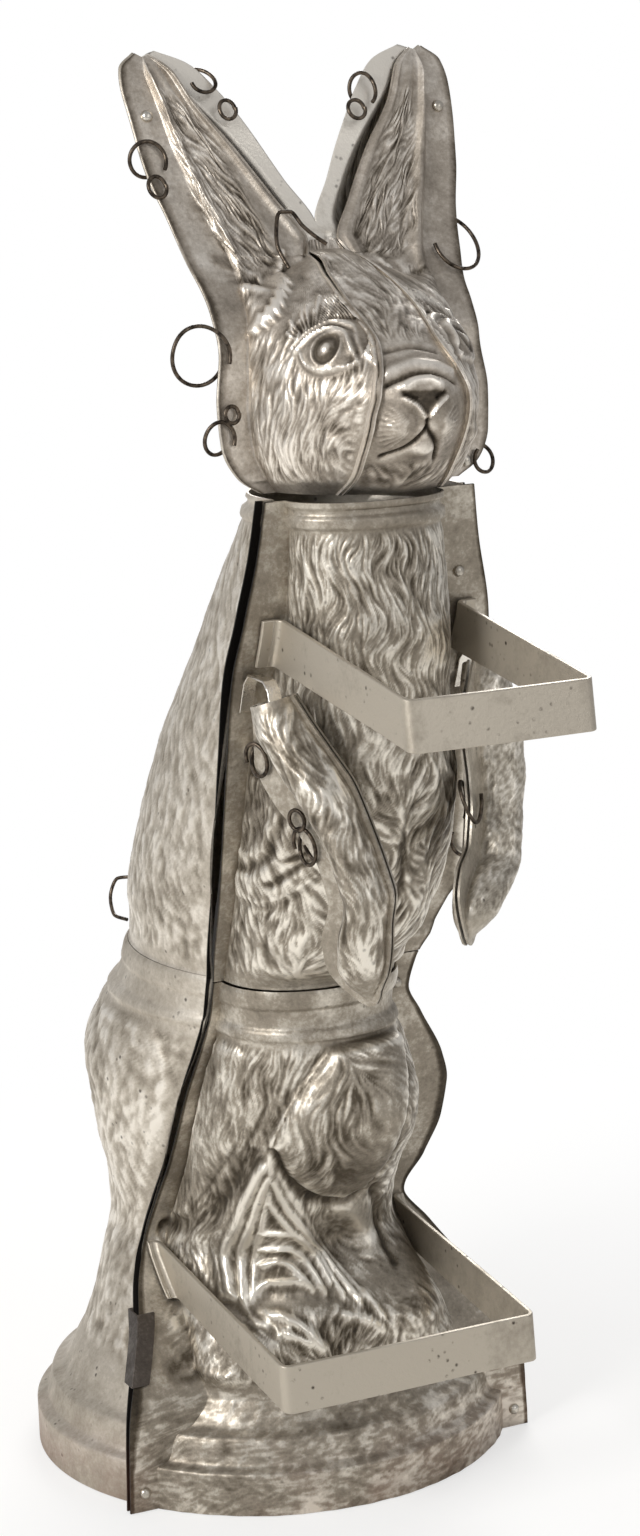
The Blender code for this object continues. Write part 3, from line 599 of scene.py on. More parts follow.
def cells(length, spacing, flange_columns=0):
    """How many points cover a length, so that with the flange columns on both sides the inner
    face's coarser grid fits."""
    fitting = INNER_STEP * int(round(length / spacing / INNER_STEP)) + 1
    return fitting - 2 * flange_columns % INNER_STEP


def off_edges(face, columns):
    """How many columns each one of a face lies inside the edge columns on either side."""
    j = np.arange(face.height.shape[1])
    return np.minimum(j - columns, len(j) - 1 - columns - j)[None, :]


def fur_mask(face, flange_columns, fade, low, high):
    """Where fur may be pressed: off the flanges, and between two heights."""
    return ramp(off_edges(face, flange_columns), fade) * band(face.grid[..., 2], low, high, 5)


def on_plane(face, origin, across):
    """The face's points on a flat chart laid on it: distance across and up from its origin."""
    across = np.array(across, float) / np.linalg.norm(across)
    away = face.grid - np.array(origin, float)
    up = np.array((0.0, 0.0, 1.0)) - across * across[2]
    return away @ across, away @ (up / np.linalg.norm(up))


def away_from(chart, starts, ends):
    """The square of the distance from each point of a chart to the nearest of these lines."""
    p, q = chart
    best = np.full(p.shape, 1e9)
    for (p0, q0), (p1, q1) in zip(starts, ends):
        run = (p1 - p0) ** 2 + (q1 - q0) ** 2
        t = np.clip(((p - p0) * (p1 - p0) + (q - q0) * (q1 - q0)) / run, 0, 1)
        best = np.minimum(best, (p - p0 - t * (p1 - p0)) ** 2 + (q - q0 - t * (q1 - q0)) ** 2)
    return best


def ridge(chart, points, width):
    """1 on a line through points of a chart, fading to 0 at its width beside it."""
    return np.exp(-1.5 * away_from(chart, points[:-1], points[1:]) / width**2)


def inside_of(chart, outline, fade):
    """1 well inside a closed outline on a chart, fading to 0 at its border."""
    p, q = chart
    ends = outline[1:] + outline[:1]
    crossings = np.zeros(p.shape, int)
    for (p0, q0), (p1, q1) in zip(outline, ends):
        at = p0 + (p1 - p0) * (q - q0) / ((q1 - q0) or 1e-9)
        crossings += ((q0 > q) != (q1 > q)) & (p < at)
    return ramp(np.sqrt(away_from(chart, outline, ends)), fade) * (crossings % 2)


def arc(points, count=24):
    """More points on a smooth curve through a few."""
    points = np.array(points, float)
    run = run_along(points)
    at = smooth_table(np.column_stack([run, points]))
    return [tuple(p) for p in at(np.linspace(0, run[-1], count))]


def swelling(inside):
    """A mask's even slope as a rounded shoulder."""
    return np.sqrt(1 - (1 - inside) ** 2)


def press_lines(face, mask, chart, lines):
    """Ridges and creases through a few points each, with their width, how far they rise or, below
    0, sink, and how much brighter or darker they are painted: painted highlight or painted shade."""
    for points, width, rise, brighter in lines:
        line = ridge(chart, arc(points), width)
        face.height += mask * rise * line
        face.shade += mask * brighter * line


def dents(face, seed, reach, depth):
    """Soft dents and waves all over, as a hand-worked sheet has."""
    draw = np.random.default_rng(seed)
    wave = draw.normal(0, 1, face.height.shape)
    for _ in range(3):
        wave = blurred(wave, reach)
    return wave / np.abs(wave).max() * depth


def press_fur(face, mask, flow, seed, strand, tuft, lengths):
    """Fur over part of a face: fine strands on broad soft tufts that lie the same way, with the
    heights and the lengths of both."""
    tufts = blurred(combed(face, flow, lengths[1], 3, seed), 1)
    strands = combed(face, flow, lengths[0], 0, seed + 1)
    face.height += mask * (tuft * (0.5 + 0.5 * tufts) + strand * strands)
    face.shade += mask * (0.1 * tufts + 0.16 * strands)


def slot_shaded_edges(face, columns, depth):
    """Darkens the outermost columns of a face: painted shade of the slot between the two halves."""
    face.shade[:, :columns] -= depth
    face.shade[:, -columns:] -= depth


SPACING = 0.95


def body_face(low, high, make_grid, span, spacing, outward):
    """A face of the body between two heights, about as wide along its surface as span."""
    heights = np.linspace(low, high, cells(high - low, spacing))
    return Relief(make_grid(heights, cells(span, spacing, FLANGE_COLUMNS)), outward)


def chest_flow(x, y, z):
    """Fur of the chest: even waves from the throat down, which break into swirls lower down."""
    low_down = ramp(430 - z, 50)
    waves = 0.6 * np.sin(z / 5.0 + x / 14 + np.sin(z / 17)) * (1 - low_down)
    swirls = 0.95 * np.sin(z / 11 + x / 8) * low_down + 0.5 * np.sin(x / 6 - z / 17) * low_down
    return waves + swirls + np.clip(-x - 25, 0, 40) / 45 * low_down, 0, -1


def back_flow(x, y, z):
    """Fur of the back: nearly straight down, in slow waves."""
    return 0.28 * np.sin(z / 14 + x / 15 + y / 11), 0.28 * np.sin(z / 12 - x / 19), -1


chest_bottom = WAIST_HEIGHT + FRONT_WAIST_GAP / 2
chest = body_face(chest_bottom, NECK_HEIGHT, front_grid, 222, SPACING, (0, -1, 0))
x, z = chart = chest.grid[..., 0], chest.grid[..., 2]
mask = fur_mask(chest, FLANGE_COLUMNS, 5, *FUR_HEIGHTS["upper"])
low_down = ramp(425 - z, 25)
press_fur(chest, mask * (1 - low_down), chest_flow, 3, 0.5, 0.6, (11, 24))
press_fur(chest, mask * low_down, chest_flow, 5, 0.5, 1.1, (10, 18))
FLANK = [
    (-61, 407), (-59, 378), (-56, 345), (-54, 331), (-49, 326), (-44, 331), (-37, 341), (-31, 350),
    (-30, 385), (-44, 405),
]
chest.height += mask * 2.4 * swelling(inside_of(chart, FLANK, 7.0))
# The flank's ridge, then curls whose creases get painted shade.
press_lines(chest, mask, chart, [
    (FLANK[:8], 1.6, 1.2, 0.0),
    ([(-59, 403), (-53, 399), (-52, 383), (-54, 371)], 1.8, -1.8, -0.25),
    ([(-55, 397), (-49, 389), (-51, 368), (-53, 354)], 1.8, -1.8, -0.25),
    ([(-45, 391), (-47, 374), (-48, 356), (-52, 342)], 1.8, -1.8, -0.25),
    ([(-35, 357), (-41, 349), (-47, 338)], 1.8, -1.8, -0.25),
    ([(-34, 371), (-37, 360), (-43, 353)], 1.8, -1.8, -0.25),
])
chest.height += mask * dents(chest, 6, 8, 1.4)
chest.shade += mask * dents(chest, 7, 8, 0.3)
# The chest lies deeper beside the left arm, so that the arm can swing.
chest.height -= 2.6 * inside_of(chart, [(0, 285), (0, 405), (64, 440), (84, 285)], 6.0)
# Painted shade of the slot between the halves: on the flange edges, and on the inner face beside
# them.
slot_shaded_edges(chest, 1, 0.6)
pressed_piece(
    "chest_pressing", chest, front_tin, "front_half", "aged_tin", "body_front_upper", SLOT_SHADE
)


def leg_flow(x, y, z):
    """Fur of the haunches: from the fold outwards and down on the left one, softer elsewhere."""
    left = ramp(x + 12, 12)
    return left * 0.75 - (1 - left) * 0.35 + 0.5 * np.sin(z / 9 + x / 12), 0, -1


def grass_flow(x, y, z):
    """Grass at the feet: down, leaning this way and that."""
    return 0.9 * np.sin(x / 13 + z / 19), 0, -1


def round_the_base(x, y, z):
    """Scratches and stains of the plinth: level, round its front."""
    return 1, x / 110, 0


legs_top = WAIST_HEIGHT - FRONT_WAIST_GAP / 2
legs = body_face(0.0, legs_top, front_grid, 252, SPACING, (0, -1, 0))
x, z = chart = legs.grid[..., 0], legs.grid[..., 2]
# The fur starts above the plinth and, low down at the right, covers most of the flange too.
LEGS_FUR, LOW_FLANGE_FUR = (60, 246), (60, 135)
on_low_flange = fur_mask(legs, 5, 4, *LOW_FLANGE_FUR) * (x < -30)
mask = np.maximum(fur_mask(legs, FLANGE_COLUMNS, 5, *LEGS_FUR), on_low_flange)
FOLD = [
    (5, 261), (-6, 250), (-15, 239), (-23, 228), (-28, 222), (-33, 213), (-37, 203), (-39, 193),
]
LEFT_HAUNCH = FOLD + [
    (-30, 174), (-12, 160), (3, 156), (16, 161), (22, 178), (21, 200), (29, 226), (34, 244),
    (20, 258),
]
RIGHT_HAUNCH = [
    (-52, 251), (-48, 239), (-49, 218), (-51, 191), (-56, 158), (-61, 137), (-90, 137), (-90, 251),
]
left_haunch = inside_of(chart, LEFT_HAUNCH, 15.0)
right_haunch = inside_of(chart, RIGHT_HAUNCH, 10.0)
legs.height += mask * 6.5 * swelling(left_haunch)
legs.height += mask * 3.0 * swelling(right_haunch)
legs.height += mask * 1.6 * ridge(chart, [(x0 - 1, z0) for x0, z0 in FOLD], 1.5)
# Creases round the haunches, the tuft and the foot, with painted shade along them.
press_lines(legs, mask, chart, [
    ([(x0 - 5, z0 - 3) for x0, z0 in FOLD[:-1]], 3.0, -1.0, -0.1),
    ([(-38, 188), (-28, 171), (-12, 157), (4, 152), (18, 157), (27, 170)], 4.0, -2.4, -0.2),
    ([(36, 250), (33, 228), (26, 202), (26, 176)], 4.5, -2.0, -0.2),
    ([(-46, 249), (-43, 236), (-44, 216), (-47, 190), (-50, 166)], 5.0, -1.4, -0.1),
    ([(-46, 186), (-50, 160), (-56, 142), (-64, 131), (-74, 127)], 5.0, -2.6, -0.3),
    ([(27, 152), (38, 130), (44, 106)], 4.0, -2.2, -0.2),
])
# The foot: a smooth bump with a painted highlight along it.
foot = ridge(chart, arc([(6, 150), (20, 137), (32, 118)]), 8.0)
legs.height += mask * 4.0 * foot
legs.shade += mask * 0.2 * foot
combed_side = np.clip((16 - x + 0.35 * (z - 200)) / 22, 0.25, 1)
press_fur(legs, mask * left_haunch * combed_side, leg_flow, 11, 0.6, 0.5, (14, 22))
# The left haunch is painted darker all over, as painted shade.
legs.shade -= 0.16 * mask * left_haunch
press_fur(legs, mask * right_haunch, leg_flow, 13, 0.25, 0.5, (8, 14))

# The tuft between the feet hangs like a folded leaf: long folds down its left side, long ridges
# that sweep down to its right corner, and curved veins between them.
TUFT = [
    (-40, 193), (-49, 177), (-52, 146), (-54, 119), (-58, 101), (-46, 95), (-33, 106), (-20, 106),
    (-4, 96), (12, 92), (31, 75), (22, 94), (4, 121), (-12, 143), (-27, 170),
]
FOLDS = [
    ([(-42, 180), (-44, 148), (-47, 124), (-51, 102)], 3.06, 3.38),
    ([(-38, 174), (-40, 141), (-42, 118), (-48, 96)], 3.06, 2.86),
    ([(-48, 176), (-50, 146), (-53, 119), (-56, 102)], 1.8, 3.38),
    ([(-39, 188), (-36, 159), (-36, 128), (-41, 104)], 1.98, 2.34),
    ([(-37, 184), (-22, 157), (4, 120), (18, 96), (31, 76)], 2.88, 2.86),
    ([(-36, 172), (-25, 151), (-1, 117), (12, 95)], 2.7, 2.6),
    ([(-35, 158), (-26, 144), (-7, 121), (4, 98)], 2.52, 2.47),
    ([(-35, 139), (-25, 140), (-12, 126), (-2, 105)], 2.52, 2.47),
    ([(-35, 128), (-25, 130), (-14, 116), (-7, 101)], 2.52, 2.47),
    ([(-35, 118), (-27, 121), (-19, 112), (-14, 104)], 2.34, 2.34),
    ([(-44, 100), (-34, 110), (-24, 111), (-15, 106)], 2.34, 2.34),
    ([(-46, 92), (-35, 96), (-25, 90), (-16, 78)], 2.7, 3.38),
    ([(-46, 80), (-34, 87), (-22, 82)], 2.34, 3.12),
    ([(-4, 92), (18, 83), (40, 68)], 2.16, 3.38),
]
tuft = np.zeros_like(x)
for points, rise, width in FOLDS:
    tuft = np.maximum(tuft, rise * ridge(chart, arc(points, 16), width))
inside = inside_of(chart, TUFT, 5.0)
inside = np.maximum(inside, ramp(102 - z, 6) * ramp(34 - np.abs(x + 8), 10))
legs.height += mask * inside * (1.5 + tuft)
# Painted highlights on the tuft's folds, and painted shade between them.
legs.shade += mask * inside * (0.12 * tuft - 0.02)
press_fur(legs, mask * inside, grass_flow, 19, 0.15, 0.2, (8, 14))
press_fur(legs, mask * ramp(100 - z, 8), grass_flow, 15, 0.45, 0.9, (7, 12))
between = np.clip(1 - left_haunch - right_haunch - inside - foot, 0, 1)
press_fur(legs, mask * between * ramp(z - 100, 10), leg_flow, 17, 0.35, 0.5, (8, 16))
legs.height += mask * dents(legs, 24, 7, 2.0) + 0.2 * dents(legs, 25, 5, 1.0)
legs.shade += dents(legs, 26, 8, 0.3)
plinth = ramp(62 - z, 4)
legs.shade += 0.17 * plinth * combed(legs, round_the_base, 7, 0, 27)
legs.height += plinth * dents(legs, 28, 2, 0.5)
# Painted shade of the slot between the halves: on the flange edges, and on the inner face beside
# them.
slot_shaded_edges(legs, 2, 0.5)
pressed_piece("legs_pressing", legs, front_tin, "front_half", "aged_tin", "body_front_lower", SLOT_SHADE)

for level, low, high, seed in (
    ("lower", 0.0, WAIST_HEIGHT - BACK_WAIST_GAP / 2, 31),
    ("upper", WAIST_HEIGHT + BACK_WAIST_GAP / 2, NECK_HEIGHT, 32),
):
    back = body_face(low, high, back_grid, 248, 1.15, (0, 1, 0))
    mask = fur_mask(back, FLANGE_COLUMNS, 5, *FUR_HEIGHTS[level])
    press_fur(back, mask, back_flow, seed, 0.45, 0.5, (9, 20))
    if level == "lower":
        x, y, z = np.moveaxis(back.grid, -1, 0)
        thigh = np.clip(1 - ((z - 196) / 62) ** 2 - ((y - 5) / 48) ** 2, 0, 1)
        back.height += mask * 3.0 * np.sqrt(thigh)
    back.height += mask * dents(back, seed + 5, 8, 1.4)
    back.shade += dents(back, seed + 6, 8, 0.25)
    # Painted shade of the slot between the halves: on the flange edges, and on the inner face
    # beside them.
    slot_shaded_edges(back, 2, 0.4)
    pressed_piece(
        f"back_{level}_pressing", back, back_tin, "back_half", "dull_tin", f"body_back_{level}",
        SLOT_SHADE,
    )


# Brackets: two straps of flat steel bent into a U and soldered to the front flange by their feet.
# They stand out in front, most likely to carry the mould when it is laid down on its front.
STRAP_HEIGHT = 24.0
STRAP_THICKNESS = 2.4
STRAP_GAP = 1.1
STRAP_ROWS = 5
# Rolled strap, thinly tinned: an even, matt grey with scattered small pits, and never bright.
strap_steel = tinned_sheet(
    "stained_strap_steel", ("#655C50", "#958C7E", "#B4AB9C"), 0.5, 0.6, stain=1.1, pits=1.0
)


def strap_path(half_width, reach, corner, foot):
    """Half of a bracket's outline seen from above: (x, distance forward) from its foot inwards."""
    path = [(half_width + foot, 0.0), (half_width + 3, 0.0)]
    for turn in np.linspace(0, math.pi / 2, 7):
        path.append((half_width + 3 - 3 * math.sin(turn), 3 - 3 * math.cos(turn)))
    path += [(half_width, d) for d in np.linspace(6, reach - corner - 1, 12)]
    for turn in np.linspace(0, math.pi / 2, 9):
        x = half_width - corner + corner * math.cos(turn)
        path.append((x, reach - corner + corner * math.sin(turn)))
    path += [(x, reach) for x in np.linspace(half_width - corner - 4, 4, 6)]
    return path


def reworked(mesh, change):
    """Makes one change to a mesh with bmesh."""
    work = bmesh.new()
    work.from_mesh(mesh)
    change(work)
    work.to_mesh(mesh)
    work.free()


def loft(name, rings):
    """A closed mesh through rings of points, each a closed loop with as many points."""
    rings = np.array(rings, float)
    count, around = rings.shape[:2]
    faces = []
    for i in range(count - 1):
        for k in range(around):
            a, b = i * around + k, i * around + (k + 1) % around
            faces.append((a, a + around, b + around, b))
    last = around * (count - 1)
    faces.append(tuple(range(around)))
    faces.append(tuple(last + k for k in reversed(range(around))))
    mesh = mesh_of(name, rings.reshape(-1, 3), faces, np.full(count * around, PLAIN))
    reworked(mesh, lambda work: bmesh.ops.recalc_face_normals(work, faces=work.faces))
    mesh.shade_smooth()
    mesh.set_sharp_from_angle(angle=math.radians(40))
    return mesh


def lofted_piece(name, rings, material, body, slot, node):
    """A piece bent or turned from one length of metal, as a finished piece in the scene."""
    return link_piece(name, loft(name, rings), material, body, slot, node)


def edges_rounded(piece, width):
    """Rubs the piece's corners round."""
    bevel = piece.modifiers.new("rounded edges", "BEVEL")
    bevel.width = width * MM
    bevel.segments = 2
    bevel.limit_method = "ANGLE"
    bevel.angle_limit = math.radians(40)


# Half width, reach forward, height of the top edge, slope down to the front in degrees, and length
# of a foot.
for name, half_width, reach, top, lean, foot in (
    ("upper_bracket", 48.8, 131.0, 473.1, 8.8, 9.0),
    ("lower_bracket", 71.8, 158.0, 121.9, 6.4, 5.0),
):
    half = strap_path(half_width, reach, 5.0, foot)
    path = half + [(-x, d) for x, d in reversed(half)]
    lean = math.radians(lean)
    foot_y = -STRAP_GAP - STRAP_THICKNESS
    rings = []
    for i, (x, d) in enumerate(path):
        before, after = path[max(i - 1, 0)], path[min(i + 1, len(path) - 1)]
        run = np.array([after[0] - before[0], after[1] - before[1]])
        run /= np.linalg.norm(run)
        depths = np.linspace(0, -STRAP_HEIGHT, STRAP_ROWS)
        ring = []
        for offset, down in ((0.0, depths), (STRAP_THICKNESS, depths[::-1])):
            px, pd = x - run[1] * offset, d + run[0] * offset
            for depth in down:
                on_flange = parting_y(top + depth) + foot_y - pd
                leaning = parting_y(top) + foot_y + depth * math.sin(lean) - pd * math.cos(lean)
                weight = min(1.0, max(0.0, (pd - 1.0) / (reach * 0.8)))
                wave = 0.35 * math.sin(px / 19 + pd / 27) * weight
                y = on_flange + (leaning - on_flange) * weight + wave
                ring.append((px + wave, y, top + depth - pd * math.sin(lean)))
        rings.append(ring)
    strap = lofted_piece(f"{name}_strap", rings, strap_steel, "front_half", "bracket_steel", name)
    edges_rounded(strap, 0.5)


# Head: a back sheet for skull and ears, two cheek-and-ear sheets and a snout sheet between them,
# all tinned steel. The two seams beside the snout are turned up, and the face is cut deep.

# Height, place of the parting along Y, then of the nose, and how far the skull stands behind.
HEAD = [
    (533, -149, -190, 30),
    (541, -149, -201, 36),
    (550, -148, -210, 40),
    (560, -147, -219, 43),
    (570, -146.5, -225.5, 44),
    (580, -146, -228, 45),
    (591, -145, -222, 45),
    (603, -144, -209, 44),
    (618, -137, -193, 38),
    (630, -128, -178, 29),
    (640, -121, -166, 18),
    (648, -116, -161, 8),
    (656, -111.5, -156.5, 0),
    (664, -107.5, -152.5, 0),
    (676, -102, -147, 0),
    (692, -95.5, -140.5, 0),
    (708, -90, -135, 0),
    (724, -83, -128, 0),
    (744, -73, -118, 0),
]
# Height, and half the distance between the two seams beside the snout.
SEAM = [
    (533, 28), (545, 26.5), (556, 27), (570, 27), (583, 25),
    (594, 21.5), (608, 17.5), (622, 18.5), (634, 16.5), (641, 13), (650, 9),
]
# Lines across one half of the head, from the chin up to the ear's tip: (across, height) of each at
# the seam, at the skull's middle or the ear's inner edge, where the relief ends, and at the edge of
# the flange.
HEAD_RIBS = [
    ((28, 533.5), (0, 533.5), (45, 533.5), (53, 533.5)),
    ((27, 541), (0, 541), (51, 541), (64, 541)),
    ((27, 556), (0, 556), (56, 556), (71, 556)),
    ((25, 576), (0, 576), (57, 576), (72, 576)),
    ((18, 600), (0, 600), (55, 601), (69, 601)),
    ((18, 620), (0, 622), (52, 622), (69, 623)),
    ((14, 640), (0, 640), (53, 641), (73, 643)),
    ((9, 650), (0, 657), (58, 658), (77, 662)),
    ((20, 668), (12, 679), (65, 680), (83, 684)),
    ((36, 693), (24, 701), (70, 701), (86, 706)),
    ((53, 716), (37, 721), (73, 719), (87.5, 724)),
    ((62, 733), (50, 735), (75, 731), (86, 734)),
    ((71, 740), (66, 741.5), (74, 739), (77.5, 741)),
]
HEAD_ROUNDNESS = 1.6
CROWN_RIB = 7
CROWN_START = 598.0
CROWN_HEIGHT = 645.0
CROWN_SIDES = 631.0
EAR_ROOT = 5.0
EAR_TIP = 11.9
SEAM_RIM = 3.0
RIM_TOP = 649.0
SNOUT_CLEARANCE = 2.6
EAR_RIM = 5.0
EAR_HOLLOW = 1.6
EAR_BACK = 11.0
FIT_GAP = 0.4
TWO_SHEETS = 2 * SHEET + FIT_GAP
CHIN_HEIGHT = 533.5
CHEEK_WIDTH = 118
CHEEK_SPACING = 0.95
SNOUT_SPACING = 0.9
FINE_RIB = 160
RIM_COLUMNS = 4

head_at = smooth_table(HEAD)
seam_at = smooth_table(SEAM)
relief_edge_at = smooth_table([(rib[2][1], rib[2][0]) for rib in HEAD_RIBS[: CROWN_RIB + 2]])
ribs_at = smooth_table([(k, *np.ravel(rib)) for k, rib in enumerate(HEAD_RIBS)])


def head_surface(z):
    """Where the head's sheets part, along Y."""
    return head_at(z)[..., 0]


def head_stack(z):
    """From the face of the head's front flange to the face of its back flange, along Y."""
    return TWO_SHEETS * steepness(head_surface, z)


def face_depth(x, z):
    """How far the face stands in front of the parting surface."""
    part_y, nose_y, _ = np.moveaxis(head_at(z), -1, 0)
    across = np.abs(x) / relief_edge_at(z)[..., 0]
    round_off = np.clip(1 - across**HEAD_ROUNDNESS, 0, 1) ** (1 / HEAD_ROUNDNESS)
    top = CROWN_HEIGHT + (CROWN_SIDES - CROWN_HEIGHT) * ramp(np.abs(x) - 8, 28)
    over_crown = np.clip((z - CROWN_START) / (top - CROWN_START), 0, 1)
    return (part_y - nose_y) * round_off * np.sqrt(1 - over_crown**2)


def turned_up_rim(z):
    """1 where the edge beside the seam is turned up, 0 on the ear."""
    return ramp(RIM_TOP - z, 8)


def rib_table(spacing):
    """Ribs of one half of the head at even spacing from the chin to the ear's tip, as columns."""
    dense = np.linspace(0, len(HEAD_RIBS) - 1, 600)
    outer = ribs_at(dense)[:, 4:6]
    run = run_along(outer)
    at = np.interp(np.linspace(0, run[-1], cells(run[-1], spacing)), run, dense)
    ribs = ribs_at(at)
    ear = np.clip(np.minimum((at - EAR_ROOT) / 1.3, (EAR_TIP - at) / 1.1), 0, 1)
    seam = seam_at(ribs[:, 1])[:, 0]
    ribs[:, 0] = np.where(ribs[:, 1] <= SEAM[-1][0], seam, ribs[:, 0])
    return ribs, ear


def ear_profile(across, side):
    """Height of the ear's front from its inner edge (0) to its outer edge (1): rim, hollow, rim.
    The left ear's inner rim is the lower one."""
    inner_rim = 0.8 if side < 0 else 0.3
    rim = np.maximum(
        inner_rim * np.exp(-(((across - 0.08) / 0.07) ** 2)),
        np.exp(-(((across - 0.88) / 0.08) ** 2)),
    )
    swell = 0.4 * np.exp(-(((across - 0.45) / 0.16) ** 2))
    edge = np.minimum(np.minimum(1.0, 0.35 + across / 0.1), (1 - across) / 0.08)
    return (EAR_HOLLOW + (EAR_RIM - EAR_HOLLOW) * np.maximum(rim, swell)) * np.maximum(0.0, edge)


def cheek_grid(side):
    """The outer face of a cheek-and-ear sheet, from its seam's rim out to its flange."""
    ribs, ear = rib_table(CHEEK_SPACING)
    inner_x, inner_z, _, _, outer_x, outer_z, edge_x, edge_z = ribs.T
    share = np.linspace(0, 1, FINE_RIB)[None, :]
    share = share + (np.sin(math.pi / 2 * share) - share) * (1 - ear[:, None])
    x = inner_x[:, None] + (outer_x - inner_x)[:, None] * share
    z = inner_z[:, None] + (outer_z - inner_z)[:, None] * share
    inner_fade = 1 - ramp(inner_z - 652, 10)[:, None] * (1 - ramp(share, 0.2))
    up = np.maximum(face_depth(x, z) * inner_fade, ear_profile(share, side) * ear[:, None])
    columns = cells(CHEEK_WIDTH, CHEEK_SPACING, RIM_COLUMNS)
    relief = evenly(np.stack([x, head_surface(z) - up, z], axis=-1), columns)
    turned_up = turned_up_rim(inner_z)
    rim = relief[:, 0] + np.stack(
        [-0.8 * (1 - turned_up), -SEAM_RIM * turned_up, 0.5 * (1 - turned_up)], axis=-1
    )
    edge = np.stack([edge_x, head_surface(edge_z), edge_z], axis=-1)
    grid = with_flanges(relief, rim, edge, RIM_COLUMNS)
    grid[..., 0] *= side
    return grid


def cheek_flow(side):
    """Fur of a cheek: waves that fall from the eye and curl round a whorl beside the mouth; on the
    ear it runs down from the rim into the hollow."""

    def flow(x, y, z):
        ax, az = side * x - 31.0, z - 556.0
        near = np.exp(-(ax * ax * 1.6 + az * az) / 500.0)
        on_ear = np.clip((z - 632 - 0.35 * (45 - side * x)) / 8, 0, 1)
        falling = 0.6 * np.sin(z / 3.8 + ax / 8.0) + np.clip((z - 600) / 60, 0, 0.6)
        sideways = falling * (1 - near) + az / 10 * near
        upwards = -(1 - near) - ax / 10 * near
        sideways = sideways * (1 - on_ear) + (0.75 + 0.35 * np.sin(z / 9)) * on_ear
        upwards = upwards * (1 - on_ear) + 0.9 * on_ear
        return side * sideways, 0.25, upwards

    return flow


RIGHT_HOLLOW = [
    (72, 727), (72, 714), (69, 696), (65, 676), (65, 653), (62, 639), (56, 628), (49, 631),
    (39, 628), (28, 637), (25, 645), (28, 655), (33, 668), (38, 687), (46, 703), (57, 718),
]
LEFT_HOLLOW = [
    (66, 724), (64, 700), (59, 676), (52, 652), (42, 640), (30, 636), (18, 641), (15, 652),
    (22, 664), (34, 684), (45, 703), (60, 722),
]
HOLLOW_RIM = arc([(24, 645), (30, 635), (39, 627), (49, 630), (57, 627), (63, 638), (66, 653)])

EYE = (34.5, -188.0, 602.0)
EYE_ACROSS = (-19.0, -29.0, 0.0)
EYE_SIZE = 0.8
# Lines of the upper lid, the lower lid, the fold over them and the inner corner: points on a chart
# of the eye, width, and how far each rises or, below 0, sinks.
LIDS = [
    ([(-21, -1), (-15, 6), (-4, 11), (6, 8.5), (13, 1.5), (20, -7)], 1.9, 2.4),
    ([(-18, -1), (-11, -9), (0, -12), (10, -10), (20, -7)], 1.7, 1.7),
    ([(-24, 1), (-17, 10), (-4, 16), (8, 13.5), (16, 5), (22, -3)], 1.4, 1.2),
    ([(16, -3.5), (19.5, -7.5)], 1.2, -1.3),
]


def carved_lines(chart, lines):
    """Lines cut into a face or standing out of it. Those of two points are straight."""
    return sum(
        rise * ridge(chart, arc(points) if len(points) > 2 else points, width)
        for points, width, rise in lines
    )


def carve_eye(face, side):
    """The eye with its ball, iris and lids, and the fan of fine brow hairs over it."""
    origin = (side * EYE[0], EYE[1], EYE[2])
    p, q = on_plane(face, origin, (side * EYE_ACROSS[0], EYE_ACROSS[1], 0))
    near = np.linalg.norm(face.grid - np.array(origin), axis=-1) < 42
    fan = np.zeros_like(p)
    for k, turn in enumerate(np.radians(np.arange(-14, 178, 5.6))):
        outer = 26 + 2.5 * math.sin(2.4 * k)
        low = (16.5 * math.cos(turn) + 1, 12.5 * math.sin(turn) + 3)
        high = (outer * math.cos(turn - 0.14) + 1, (outer - 3) * math.sin(turn - 0.14) + 3)
        fan = np.maximum(fan, ridge((p, q), [low, high], 0.9))
    p, q = p / EYE_SIZE, q / EYE_SIZE
    r = np.hypot(p, q + 0.5)
    carved = 3.4 * np.clip(1 - (p / 18) ** 2 - (q / 12) ** 2, 0, 1) ** 0.6
    carved += 0.8 * np.exp(-(((r - 8.6) / 1.1) ** 2)) - 0.8 * np.exp(-(((r - 6.2) / 1.6) ** 2))
    carved += 1.2 * np.clip(1 - (r / 3.4) ** 2, 0, 1)
    carved += carved_lines((p, q), LIDS)
    inside = np.clip(1 - (p / 23) ** 2 - ((q - 1) / 17) ** 2, 0, 1)
    brow = np.clip(3 - 3 * (p / 31) ** 2 - 3 * ((q - 3) / 27) ** 2, 0, 1) * ramp(q - 5, 5)
    brow *= 1 - np.clip(inside * 4, 0, 1)
    clear = near & (inside > 0.05)
    face.height = np.where(clear, 0, face.height)
    face.shade = np.where(clear, 0, face.shade)
    face.height += np.where(near, carved + (1.5 * fan - 1.2 * brow) * (inside < 0.05), 0)
    # Painted light of the eye: painted highlights on the brow hairs and in the pupil, and painted
    # shade over the eyeball, in the brow hollow and over the iris.
    ball = np.clip(3 - 3 * (p / 18) ** 2 - 3 * (q / 12) ** 2, 0, 1)
    shade = 0.25 * fan * (inside < 0.05) - 0.18 * ball - 0.3 * brow
    shade += 0.3 * np.clip(3 - r, 0, 1) - 0.15 * np.clip(9 - r, 0, 1)
    face.shade += np.where(near, shade, 0)


# The face's plating is the cleanest, with few pits, so that its carving shows.
head_tin = tinned_sheet(
    "tin_plated_steel_face", ("#5C5347", "#ACA295", "#EAE2D6"), 0.42, 0.8, pits=0.35
)

